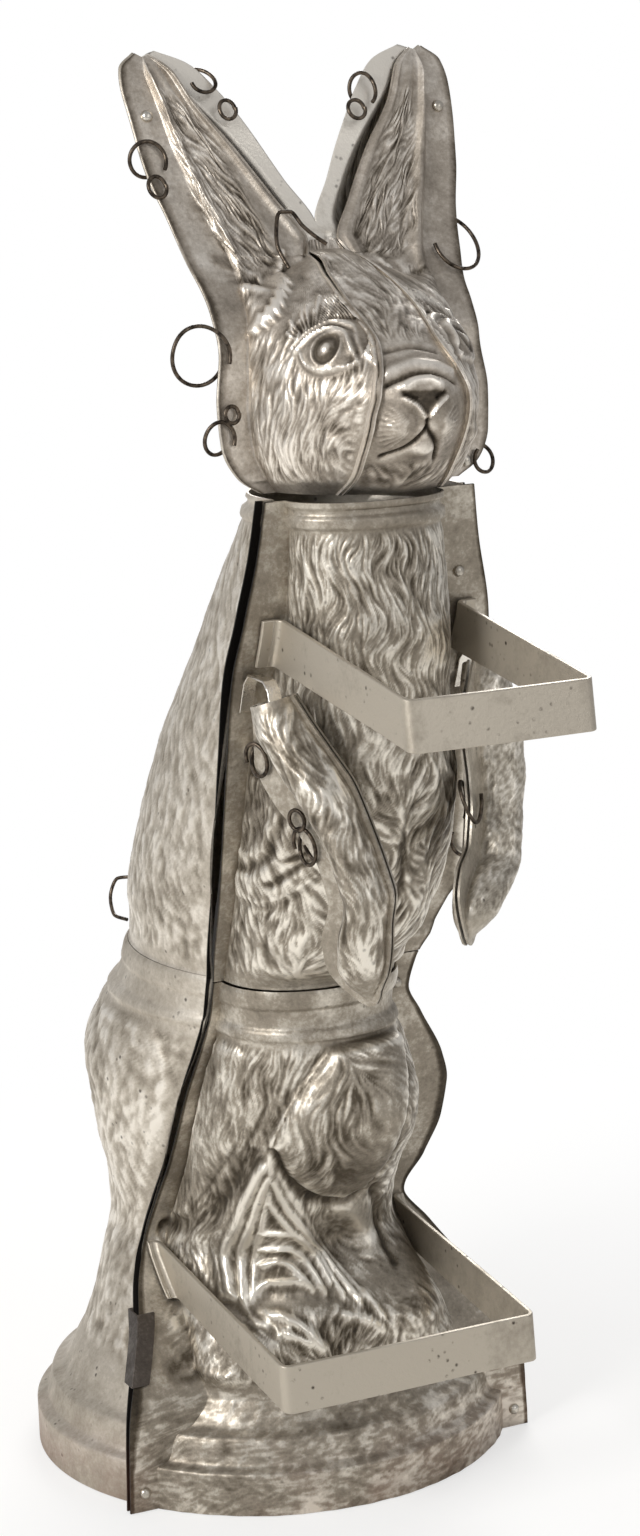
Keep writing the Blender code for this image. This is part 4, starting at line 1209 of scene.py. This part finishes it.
for side, label, seed in ((-1, "right", 41), (1, "left", 51)):
    cheek = Relief(cheek_grid(side), (side * 0.3, -1, 0.1))
    x, z = chart = side * cheek.grid[..., 0], cheek.grid[..., 2]
    mask = ramp(off_edges(cheek, RIM_COLUMNS + 1), 4) * ramp(z - 537, 4)
    press_fur(cheek, mask * ramp(640 - z, 6), cheek_flow(side), seed, 0.42, 0.4, (9, 16))
    cheek.height += 2.5 * mask * bell(x, z, (36.5, 560), (5, 6), 1.0)
    outline = RIGHT_HOLLOW if side < 0 else LEFT_HOLLOW
    hollow = inside_of(chart, outline, 4.0) * ramp(off_edges(cheek, 0), 6)
    cheek.height *= 1 - hollow
    cheek.shade *= 1 - hollow
    lower_end = ramp(672 - z, 24)
    cheek.height -= hollow * (0.6 + 1.4 * lower_end)
    cheek.height += (1.6 if side < 0 else 0.4) * mask * lower_end * ridge(chart, HOLLOW_RIM, 2.0)
    # Painted shade in the low, deep part of the ear's hollow.
    cheek.shade -= 0.35 * hollow * bell(x, z, (30 if side < 0 else 14, 660), (13, 24), 1.0)
    press_fur(cheek, hollow, cheek_flow(side), seed + 2, 0.55, 0.5, (11, 18))
    carve_eye(cheek, side)
    # A row of short rungs climbs from the brow to the ear, each with a painted highlight.
    ladder = ridge(chart, [(52, 612), (28, 636)], 4.5)
    cheek.height *= 1 - ladder
    cheek.shade *= 1 - ladder
    for k in range(8):
        across, up = 51 - 3.2 * k, 613.5 + 3.1 * k
        rung = mask * ridge(chart, [(across + 2.2, up - 4.0), (across - 1.8, up + 4.0)], 1.2)
        cheek.height += (2.2 if side < 0 else 0.8) * rung
        cheek.shade += 0.25 * rung
    cheek.shade += mask * dents(cheek, seed + 4, 7, 0.22)
    # Painted shade along the flange's outer edge, where it meets the back sheet, and a painted
    # highlight on the turned-up rim beside the seam.
    cheek.shade[:, -1] -= 0.4
    cheek.shade[:, :RIM_COLUMNS] += 0.4 * turned_up_rim(z[:, :RIM_COLUMNS])
    pressed_piece(
        f"{label}_cheek_pressing", cheek, head_tin, f"{label}_cheek", "aged_tin",
        f"head_{label}_cheek_and_ear",
    )

SNOUT_LENGTH, SNOUT_WIDTH = 126, 60
heights = np.linspace(CHIN_HEIGHT, SEAM[-1][0], cells(SNOUT_LENGTH, SNOUT_SPACING))
z = heights[:, None]
half = seam_at(heights) - SNOUT_CLEARANCE
x = half * np.linspace(-1, 1, 200)[None, :]
relief = evenly(
    np.stack([x, head_surface(z) - face_depth(x, z), z + 0 * x], axis=-1),
    cells(SNOUT_WIDTH, SNOUT_SPACING, RIM_COLUMNS),
)
turned_up = turned_up_rim(heights)
rims = [
    relief[:, k]
    + np.stack([way * 0.5 * (1 - turned_up), -SEAM_RIM * turned_up, 0 * turned_up], axis=-1)
    for k, way in ((0, -1), (-1, 1))
]
snout = Relief(with_flanges(relief, *rims, RIM_COLUMNS), (0, -1, 0))
x, z = snout.grid[..., 0], snout.grid[..., 2]
mask = ramp(off_edges(snout, RIM_COLUMNS), 4) * ramp(z - 535, 3)


def snout_flow(x, y, z):
    """Short fur that parts along the bridge of the nose and falls over the chin."""
    return x / 26 + 0.25 * np.sin(z / 6), 0, 1


press_fur(snout, mask * ramp(z - 604, 5), snout_flow, 61, 0.4, 0.5, (9, 16))
press_fur(snout, mask * ramp(551 - z, 4), snout_flow, 63, 0.4, 0.5, (9, 16))
NOSE_MIDDLE = -3.0
NOSE_PAD = [(-11.5, 584), (-6, 585), (5, 585), (9.5, 583.5), (4.5, 577.5), (0, 572), (-5, 578)]
# Folds over the nose, then the line under it and the two sides of the mouth.
FACE_LINES = [
    ([(-16, 591), (-8, 594.5), (1, 596), (10, 594.5), (18, 591)], 2.2, 1.4),
    ([(-9, 586), (-4, 588.5), (2, 589), (8, 586.5)], 2.2, 2.0),
    ([(-18, 586), (-10, 589.5), (0, 592), (10, 590.5), (18, 586)], 1.1, -1.8),
    ([(-13, 601), (0, 603), (14, 600)], 1.1, -1.2),
    ([(0, 572), (0.6, 566)], 1.0, -2.2),
    ([(-15, 553), (-8, 556.5), (-3, 561), (0.6, 566)], 1.2, -2.6),
    ([(12, 550.5), (9.5, 556), (5.5, 561.5), (0.6, 566)], 1.2, -2.6),
]
x, z = chart = x - NOSE_MIDDLE, z
pad = inside_of(chart, NOSE_PAD, 1.5)
carved = carved_lines(chart, FACE_LINES) - 1.4 * pad + 3.4 * bell(x, z, (1.5, 557), (6.5, 4.5), 1.0)
for away in (-1, 1):
    nostril = [
        ([(away * 9.5, 580.5), (away * 5, 577.5), (away * 0.8, 572)], 1.2, 2.0),
        ([(away * 10, 583), (away * 5.5, 580.5)], 1.1, -2.2),
    ]
    whiskers = []
    for turn in np.radians(-58 + 13 * np.arange(9)):
        low = (away * (6 + 3 * math.cos(turn)), 568 + 3 * math.sin(turn))
        high = (away * (6 + 13 * math.cos(turn)), 568 + 12 * math.sin(turn))
        whiskers.append(([low, high], 0.6, 0.6))
    carved += carved_lines(chart, nostril + whiskers)
    carved += 2.4 * bell(x, z, (away * 11, 566), (8.5, 9), 1.0)
# Painted shade on the sunken nose pad and over the muzzle below the nose.
snout.shade -= mask * (0.35 * pad + 0.12 * ramp(586 - z, 6))
snout.height += mask * carved
# Painted highlight on the turned-up rims beside the seams.
for rim in (slice(0, RIM_COLUMNS), slice(-RIM_COLUMNS, None)):
    snout.shade[:, rim] += 0.25 * turned_up_rim(z[:, rim])
pressed_piece("snout_pressing", snout, head_tin, "snout", "aged_tin", "head_snout")

ribs, ear = rib_table(1.25)
front_x, _, inner_x, inner_z, outer_x, outer_z, edge_x, edge_z = [c[:, None] for c in ribs.T]
share = np.linspace(0, 1, FINE_RIB)[None, :]
x = inner_x + (outer_x - inner_x) * share
z = inner_z + (outer_z - inner_z) * share
# The skull is a dome up to the crown, and each ear is a long round swelling.
reach = relief_edge_at(z)[..., 0]
dome = head_at(z)[..., 2] * np.sqrt(np.clip(1 - (x / reach) ** 2, 0, 1))
dome *= np.sqrt(1 - np.clip((z - CROWN_START) / (CROWN_HEIGHT - CROWN_START), 0, 1) ** 2)
dome = np.where((z < CROWN_HEIGHT) & (x < reach), dome, 0)
start = (front_x - inner_x) / (outer_x - inner_x)
swell = np.sin(math.pi * np.clip((share - start) / (1 - start), 0, 1)) * EAR_BACK * ear[:, None]
y = head_surface(z) + head_stack(z) + np.maximum(dome, swell)
half_grid = evenly(np.stack([x, y, z], axis=-1), 76)
edge_z = edge_z[:, 0]
edge = np.stack([edge_x[:, 0], head_surface(edge_z) + head_stack(edge_z), edge_z], axis=-1)
SKULL_RELIEF = 1.1
SKULL_FLANGE = 8
step = np.linspace(0, 1, SKULL_FLANGE + 1)[None, 1:, None]
flange = half_grid[:, -1:] + (edge[:, None] - half_grid[:, -1:]) * step
half_grid = np.concatenate([half_grid, flange], axis=1)
corners, faces, shades = [], [], []
for side, seed in ((-1, 71), (1, 72)):
    skull = Relief(half_grid * (side, 1, 1), (0, 1, 0))
    z = skull.grid[..., 2]
    j = np.arange(skull.height.shape[1])
    mask = ramp(len(j) - SKULL_FLANGE - 2 - j, 5)[None, :] * ramp(z - 540, 5)
    plain = ramp(np.abs(skull.grid[..., 0]) - front_x - 1.5, 2)
    mask = mask * np.where(z > 652, plain, 1)
    press_fur(skull, mask, back_flow, seed, 0.45, 0.8, (14, 26))
    # The two sides meet at the middle, where their relief fades out.
    outer = skull.grid + skull.normals * (skull.height * ramp(j, 5)[None, :])[..., None]
    outer[:, 0, 0] = skull.grid[:, 0, 0]
    faces += quads(sum(len(c) for c in corners), *outer.shape[:2], side > 0)
    corners.append(outer.reshape(-1, 3))
    # The plain band between the ears is painted brighter: a painted highlight.
    shown = tones(skull, SKULL_RELIEF) + 0.4 * np.where(z > 650, 1 - plain, 0)
    shades.append(np.clip(shown, 0, 1).ravel())
mesh = mesh_of("skull_pressing", np.concatenate(corners), faces, np.concatenate(shades))
reworked(mesh, lambda work: bmesh.ops.remove_doubles(work, verts=work.verts, dist=0.02 * MM))
mesh.shade_smooth()
skull = link_piece("skull_pressing", mesh, back_tin, "head_half", "dull_tin", "head_back")
thicken = skull.modifiers.new("sheet thickness", "SOLIDIFY")
thicken.thickness = SHEET_SHOWN * MM
thicken.offset = -1.0


# Arms: each is a small mould of its own, an inner and an outer pressed sheet with a broad flange on
# one side, hung on a bright bent strip that is soldered to the body's flange.
RIGHT_ARM = ((-61.0, -169.5, 437.5), (-33.0, -204.0, 290.5), math.radians(62.0))
LEFT_ARM = ((58.5, -158.5, 439.5), (20.5, -208.0, 315.0), math.radians(42.0))
ARM_LENGTH = 150.5
# Distance down the arm, then across it: the middle and half width of its relief, how deep that is
# in the outer and in the inner sheet, and the flange's two edges.
ARM = [
    (0, 0, 10.5, 12, 6, -13, 13),
    (12, -2, 12.5, 15, 7, -17, 17),
    (30, -9, 13, 17.5, 8, -24.5, 22),
    (48, -16, 13, 18, 8.5, -31.5, 17.5),
    (64, -20, 11, 17.5, 9, -33.5, 9),
    (82, -22, 10.5, 17, 9, -35, 3.5),
    (98, -22, 11, 17, 9, -35.5, 4),
    (115, -13, 12.5, 16, 8, -28, 14.5),
    (128, -7, 13, 12.5, 7, -22.5, 17),
    (138, -4, 10, 7.5, 5, -16.5, 12.5),
    (144, -3, 5, 2.5, 2.5, -10.5, 7),
    (148, -2.5, 1.5, 0.2, 0.2, -8, 3),
    (150.5, -2.5, 0.8, 0, 0, -5, -1),
]
arm_at = smooth_table(ARM)
HOOK_THICKNESS = 1.2
HOOK_HALF_WIDTH = 3.5


def arm_frame(side):
    """Shoulder, length and axes of an arm's parting plane: along it, to its broad flange, and off
    it."""
    top, tip, turn = RIGHT_ARM if side < 0 else LEFT_ARM
    top, tip = np.array(top), np.array(tip)
    length = np.linalg.norm(tip - top)
    along = (tip - top) / length
    facing = np.array([side * math.sin(turn), -math.cos(turn), 0.0])
    facing -= along * (facing @ along)
    facing /= np.linalg.norm(facing)
    across = np.cross(along, facing)
    if (across[1] < 0) != (side > 0):
        across = -across
    return top, length, along, across, facing


def on_arm(side, s, t, n):
    """Points of an arm from their places along, across and off the parting plane."""
    top, length, along, across, facing = arm_frame(side)
    s, t, n = np.broadcast_arrays(*(np.asarray(v, float) for v in (s, t, n)))
    return (
        top + along * (s * length / ARM_LENGTH)[..., None] + across * t[..., None]
        + facing * n[..., None]
    )


def arm_flow(along):
    """Fur of an arm: soft waves from the shoulder down to the paw."""

    def flow(x, y, z):
        wave = 0.35 * np.sin(z / 7 + x / 9)
        return along[0] + wave, along[1] - wave, along[2]

    return flow


# The left arm's plating is rough: mottled light and dark, with many small pits.
paw_tin = tinned_sheet(
    "tin_plated_steel_rough", ("#696054", "#B0A89A", "#EAE3D7"), 0.42, 0.8, pits=1.0
)
SHELL_FLANGE = 5
ARM_GIRTH = 56

for side, label in ((-1, "right"), (1, "left")):
    s = np.linspace(0, ARM_LENGTH, cells(ARM_LENGTH, 1.0))
    middle, half, depth_out, depth_in, front_edge, back_edge = [c[:, None] for c in arm_at(s).T]
    turn = np.linspace(0, math.pi, 160)[None, :]
    _, _, along, _, facing = arm_frame(side)
    for outer in (True, False):
        lift = 0.0 if outer else -TWO_SHEETS
        depth = depth_out if outer else -depth_in
        relief = on_arm(side, s[:, None], middle - half * np.cos(turn), lift + depth * np.sin(turn))
        relief = evenly(relief, cells(ARM_GIRTH, 0.9, SHELL_FLANGE))
        edges = [on_arm(side, s, e[:, 0], lift) for e in (front_edge, back_edge)]
        shell = Relief(with_flanges(relief, *edges, SHELL_FLANGE), facing if outer else -facing)
        mask = ramp(off_edges(shell, SHELL_FLANGE), 4) * band(s, 2, 138, 5)[:, None]
        if side < 0:
            press_fur(shell, mask, arm_flow(along), 81, 0.38, 0.35, (8, 14))
            shell.shade += mask * dents(shell, 87, 6, 0.5)
        else:
            press_fur(shell, mask, arm_flow(along), 83, 0.3, 0.5, (3, 5))
            shell.height += mask * dents(shell, 85, 4, 1.4)
        if not outer:  # nothing may stand out of it towards the chest
            shell.height = np.minimum(shell.height, 0)
        kind = "outer" if outer else "inner"
        body = f"{label}_arm_cover" if outer else f"{label}_arm"
        tin = front_tin if side < 0 else paw_tin
        pressed_piece(
            f"{label}_arm_{kind}_pressing", shell, tin, body, "aged_tin" if outer else "dull_tin",
            f"{label}_arm_{kind}_shell",
        )

# Freshly tinned strip, rubbed by the arm that hangs on it: pale, clean and glossy.
bright_strip = tinned_sheet(
    "polished_tin_strip", ("#8C8579", "#D8D2C8", "#F2EEE6"), 0.2, 1.0, pits=0.1
)

for side, label in ((-1, "right"), (1, "left")):
    top = arm_frame(side)[0]
    x = side * 59.0
    path = [(x, float(parting_y(z)) - 0.5 - HOOK_THICKNESS, z) for z in (426, 434, 441)]
    path.append((x, path[-1][1] - 5.0, 445.5))
    path.append((top[0], top[1] + 3.0, 445.5))
    path.append((top[0], top[1] - 1.0, 442.0))
    path.append(tuple(on_arm(side, 6, -2, 2)))
    path = np.array(path)
    rings = []
    wide = np.array([HOOK_HALF_WIDTH, 0.0, 0.0])
    for i, here in enumerate(path):
        run = path[min(i + 1, len(path) - 1)] - path[max(i - 1, 0)]
        thick = np.cross(run, wide)
        thick *= HOOK_THICKNESS / np.linalg.norm(thick)
        rings.append([here - wide, here - wide + thick, here + wide + thick, here + wide])
    hook = lofted_piece(
        f"{label}_arm_strip", rings, bright_strip, "front_half", "worn_metal", f"{label}_arm_hook"
    )
    edges_rounded(hook, 0.3)


# Pegs: domed steel pins soldered to the back flanges. They come through holes in the front flanges
# and bring the halves together in register; the domes are rubbed bright.
PEG_RADIUS = 3.0
# Bare steel kept bright by rubbing in its hole: a smooth gloss with few marks.
peg_steel = tinned_sheet(
    "rubbed_peg_steel", ("#7D766B", "#B9B2A6", "#E9E4DA"), 0.28, 1.0, pits=0.3
)

for name, x, z, surface, stack, body in (
    ("peg_chest", 48, 488, parting_y, body_stack, "back_half"),
    ("peg_waist", 50, 259, parting_y, body_stack, "back_half"),
    ("peg_base_left", 109.5, 10, parting_y, body_stack, "back_half"),
    ("peg_base_right", -109.5, 10, parting_y, body_stack, "back_half"),
    ("peg_jaw", 57, 541, head_surface, head_stack, "head_half"),
    ("peg_right_ear", -78.5, 711, head_surface, head_stack, "head_half"),
    ("peg_left_ear", 78.5, 711, head_surface, head_stack, "head_half"),
):
    turns = np.linspace(0, 2 * math.pi, 24, endpoint=False)
    around_z = z + PEG_RADIUS * np.sin(turns)
    back_flange = surface(around_z) + stack(around_z) - SHEET * steepness(surface, around_z)
    foot_y = back_flange - FIT_GAP / 2
    rings = [np.stack([x + PEG_RADIUS * np.cos(turns), foot_y, around_z], axis=-1)]
    front = float(surface(z))
    for radius, out in ((3.0, 0.4), (2.8, 1.1), (2.3, 1.8), (1.5, 2.35), (0.5, 2.6)):
        ring = [x + radius * np.cos(turns), 0 * turns + front - out, z + radius * np.sin(turns)]
        rings.append(np.stack(ring, axis=-1))
    lofted_piece(f"{name}_pin", rings, peg_steel, body, "worn_metal", name)


# Clips: dark spring wire wound into rings and eights that pinch two flanges together, one long
# staple over the forehead, one wire eye on the back, and a folded strip of spring sheet low down.
WIRE_RADIUS = 1.0
CLIP_CLEARANCE = 1.1
OFF_THE_FLANGE = WIRE_RADIUS + CLIP_CLEARANCE
# Oxidised wire: brown-black, with paler and glossier marks about 3 mm long where the scale is worn.
spring_wire = bare(bpy.data.materials.new("oxidised_spring_wire"))
place = add_node(spring_wire, "ShaderNodeTexCoord")
scale_marks = add_node(
    spring_wire, "ShaderNodeTexNoise",
    [("Vector", place, "Object"), ("Scale", 1000 / 3.0), ("Detail", 4.0)],
)
tint = add_node(
    spring_wire, "ShaderNodeValToRGB", [("Fac", scale_marks, "Fac")],
    stops=[(0.35, linear("#2A241E")), (0.7, linear("#6E6255"))],
)
gleam = add_node(
    spring_wire, "ShaderNodeMapRange",
    [("Value", scale_marks, "Fac"), ("To Min", 0.5), ("To Max", 0.25)],
)
shader = add_node(
    spring_wire, "ShaderNodeBsdfPrincipled",
    [("Base Color", tint, "Color"), ("Roughness", gleam, "Result"), ("Metallic", 0.9)],
)
add_node(spring_wire, "ShaderNodeOutputMaterial", [("Surface", shader, "BSDF")])


def wire_piece(name, paths, body, *nodes):
    """Round wire along one or more lines of points."""
    curve = bpy.data.curves.new(name, "CURVE")
    curve.dimensions = "3D"
    curve.bevel_depth = WIRE_RADIUS * MM
    curve.bevel_resolution = 3
    curve.use_fill_caps = True
    for path in paths:
        spline = curve.splines.new("POLY")
        spline.points.add(len(path) - 1)
        for target, p in zip(spline.points, in_frame(path)):
            target.co = (*p, 1.0)
    return link_piece(name, curve, spring_wire, body, "spring_wire", *nodes)


def circle(centre, radii, turn):
    """Points round a flat ring, at these turns."""
    return centre[0] + radii[0] * np.cos(turn), centre[1] + radii[1] * np.sin(turn)


def ring_path(centre, radii, out_angle, turns):
    """A spring ring in the flange's plane as (u, v, share): share runs from 0, in front of the
    flanges, to 1, behind them, and changes over on the side that hangs off the flanges' edge."""
    out_angle = math.radians(out_angle)
    turn = out_angle + math.pi * turns * np.linspace(-1, 1, 64)
    share = np.clip(0.5 + (turn - out_angle) / math.pi, 0, 1)
    share = share * share * (3 - 2 * share)
    return *circle(centre, radii, turn), share


def flange_ring(surface, stack, *shape):
    """A ring that grips the two flanges of a body or head from both sides."""
    x, z, share = ring_path(*shape)
    clear = OFF_THE_FLANGE * steepness(surface, z)
    front, behind = surface(z) - clear, surface(z) + stack(z) + clear
    return np.stack([x, front + (behind - front) * share, z], axis=-1)


LOOP_TURNS = np.linspace(0, 2.05 * math.pi, 40)

# The ring's centre, radii, the side it hangs off at and its turns, then the centre and radii of the
# small loop that some have in front.
for name, shape, loop in (
    ("clip_right_ear_inner", ((-46, 727), (6.5, 5.5), 45, 1.2), ((-37, 713), (4.2, 4.5))),
    ("clip_right_ear_outer", ((-82, 691), (8.5, 8.5), 180, 1.2), ((-81, 678), (4.5, 5.0))),
    ("clip_left_ear_inner", ((39.5, 721), (5.5, 7.5), 150, 1.2), ((32, 711), (4.5, 4.5))),
    ("clip_left_brow", ((71, 645), (12.5, 12.5), 0, 1.0), None),
    ("clip_right_cheek", ((-79.5, 600), (14.0, 14.0), 180, 1.1), None),
    ("clip_right_jaw", ((-73, 561), (7.0, 8.0), 190, 1.2), ((-67, 572), (3.5, 4.0))),
    ("clip_left_jaw", ((67.5, 541), (6.5, 6.5), -30, 1.1), None),
):
    paths = [flange_ring(head_surface, head_stack, *shape)]
    if loop:
        x, z = circle(*loop, LOOP_TURNS)
        paths.append(np.stack([x, head_surface(z) - 2.4 - 0.5 * LOOP_TURNS / math.pi, z], axis=-1))
    wire_piece(f"{name}_ring", paths, name, name)
flank = flange_ring(parting_y, body_stack, (81, 342), (13.0, 13.0), 0, 1.05)
wire_piece("clip_flank_ring", [flank], "clip_flank", "clip_flank")

for name, side, shape, loop in (
    ("clip_right_arm_upper", -1, ((25, 18.5), (8.0, 6.0), 90, 2.0), None),
    ("clip_right_arm_lower", -1, ((70, 6.0), (9.0, 6.0), 90, 2.0), ((57, 5.0), (5.0, 4.5))),
    ("clip_left_arm", 1, ((76, 6.0), (11.0, 9.0), 90, 1.2), None),
):
    s, t, share = ring_path(*shape)
    behind = TWO_SHEETS + 2 * OFF_THE_FLANGE
    paths = [on_arm(side, s, t, OFF_THE_FLANGE - behind * share)]
    if loop:
        paths.append(on_arm(side, *circle(*loop, LOOP_TURNS), 2.6 + LOOP_TURNS / 8))
    wire_piece(f"{name}_ring", paths, name, name)

# The staple's line as seen from the front, from one leg over the forehead to the other.
FOREHEAD_CLIP = [
    (-4, 648), (-9, 652), (-14, 657), (-19, 664), (-24, 664), (-28, 657), (-30, 648), (-27.5, 638),
]
STAPLE_STAND_OFF = 6.5
x, z = np.array(arc(FOREHEAD_CLIP, 40)).T
forward = np.maximum(face_depth(x, z), EAR_RIM) + STAPLE_STAND_OFF
staple = np.stack([x, head_surface(z) - forward, z], axis=-1)
wire_piece("clip_forehead_staple", [staple], "clip_forehead", "clip_forehead")

# Turn round the back in degrees, rise, and distance off the sheet.
BACK_EYE = [(142, -10, 0.3), (140, -9, 7), (136, 0, 10), (133, 9, 7), (131, 10, 0.3)]
BACK_EYE_HEIGHT = 293.0
centre_y, half, back_y = body_at(BACK_EYE_HEIGHT)[:3]
eye_at = smooth_table([(k, *row) for k, row in enumerate(BACK_EYE)])
eye_path = []
for turn, rise, off in eye_at(np.linspace(0, 4, 24)):
    out = 1 + (off + WIRE_RADIUS + FIT_GAP) / half
    turn = math.radians(turn)
    y = centre_y + (back_y - centre_y) * math.sin(turn) * out
    eye_path.append((half * math.cos(turn) * out, y, BACK_EYE_HEIGHT + rise))
wire_piece("back_eye_wire", [eye_path], "back_half", "back_wire_eye")

BASE_CLIP_GRIP = 8.0
BASE_CLIP_THICKNESS = 1.0
BASE_CLIP_HEIGHTS = (66, 94)
# Blued spring sheet: an even dark grey, the darkest of the sheets.
dark_sheet = tinned_sheet(
    "blued_spring_sheet", ("#2A2521", "#57504A", "#8E8880"), 0.38, 0.8, pits=0.4
)
rings = []
for z in np.linspace(*BASE_CLIP_HEIGHTS, 12):
    edge = float(flange_at(z)[1])
    slope = float(steepness(parting_y, z))
    front = float(parting_y(z)) - 0.5 * slope
    back = float(parting_y(z) + body_stack(z)) + 0.5 * slope
    thick = BASE_CLIP_THICKNESS * slope
    inner, fold = -(edge - BASE_CLIP_GRIP), -(edge + 1.0)
    outside = fold - BASE_CLIP_THICKNESS
    ring = [(inner, front), (fold, front), (fold, back), (inner, back), (inner, back + thick)]
    ring += [(outside, back + thick), (outside, front - thick), (inner, front - thick)]
    rings.append([(x, y, z) for x, y in ring])
gripper = lofted_piece(
    "clip_base_sheet", rings, dark_sheet, "clip_base", "spring_wire", "clip_base"
)
edges_rounded(gripper, 0.25)


# Studio: a plain pale floor and a white surround, with a strong soft lamp at the rabbit's right, a
# weak one in front and one behind its left.
floor_mesh = bpy.data.meshes.new("studio_floor")
floor_mesh.from_pydata([(-6, -6, 0), (6, -6, 0), (6, 6, 0), (-6, 6, 0)], [], [(0, 1, 2, 3)])
floor = put_in_scene("studio_floor", floor_mesh)
floor.location.z = -0.0005
# Matt paper. The camera sees it wash out to white away from the mould, whose shadow it keeps.
paper = bare(bpy.data.materials.new("white_paper_sweep"))
seen = add_node(paper, "ShaderNodeLightPath")
ground = add_node(paper, "ShaderNodeTexCoord")
distance = add_node(
    paper, "ShaderNodeVectorMath", [(0, ground, "Object")], operation="LENGTH",
)
fade = add_node(
    paper, "ShaderNodeMapRange",
    [("Value", distance, "Value"), *zip(RANGE, (0.25, 0.75, 0.6, 1.0))],
)
white = add_node(paper, "ShaderNodeEmission", [("Color", (1, 1, 1, 1)), ("Strength", 1.0)])
matt = add_node(paper, "ShaderNodeBsdfDiffuse", [("Color", linear("#F4F2EE"))])
glow = add_node(
    paper, "ShaderNodeMath",
    [(0, seen, "Is Camera Ray"), (1, fade, "Result")], operation="MULTIPLY",
)
mixed = add_node(
    paper, "ShaderNodeMixShader", [(0, glow, "Value"), (1, matt, "BSDF"), (2, white, "Emission")]
)
add_node(paper, "ShaderNodeOutputMaterial", [("Surface", mixed, "Shader")])
floor_mesh.materials.append(paper)

# A pale, slightly cool surround lights the mould, and the camera sees it as white.
surround = bare(bpy.data.worlds.new("studio_surround"))
bpy.context.scene.world = surround
path = add_node(surround, "ShaderNodeLightPath")
soft = add_node(
    surround, "ShaderNodeBackground", [("Color", (0.86, 0.87, 0.9, 1)), ("Strength", 0.56)]
)
pure = add_node(surround, "ShaderNodeBackground", [("Color", (1, 1, 1, 1)), ("Strength", 1.0)])
both = add_node(
    surround, "ShaderNodeMixShader",
    [(0, path, "Is Camera Ray"), (1, soft, "Background"), (2, pure, "Background")],
)
add_node(surround, "ShaderNodeOutputWorld", [("Surface", both, "Shader")])

AIM = (0, 0, 0.4)
# Place and size in metres, and power in watts.
for name, place, size, power in (
    ("key_softbox", (-1.9, -0.7, 1.4), 0.9, 36),
    ("fill_softbox", (0.6, -2.0, 1.1), 1.0, 5),
    ("rim_softbox", (0.9, 1.5, 1.5), 1.0, 24),
):
    lamp = bpy.data.lights.new(name, "AREA")
    lamp.energy = power
    lamp.size = size
    holder = put_in_scene(name, lamp)
    holder.location = place
    aim = Vector(AIM) - Vector(place)
    holder.rotation_euler = aim.to_track_quat("-Z", "Y").to_euler()

bpy.context.scene.view_settings.view_transform = "Standard"
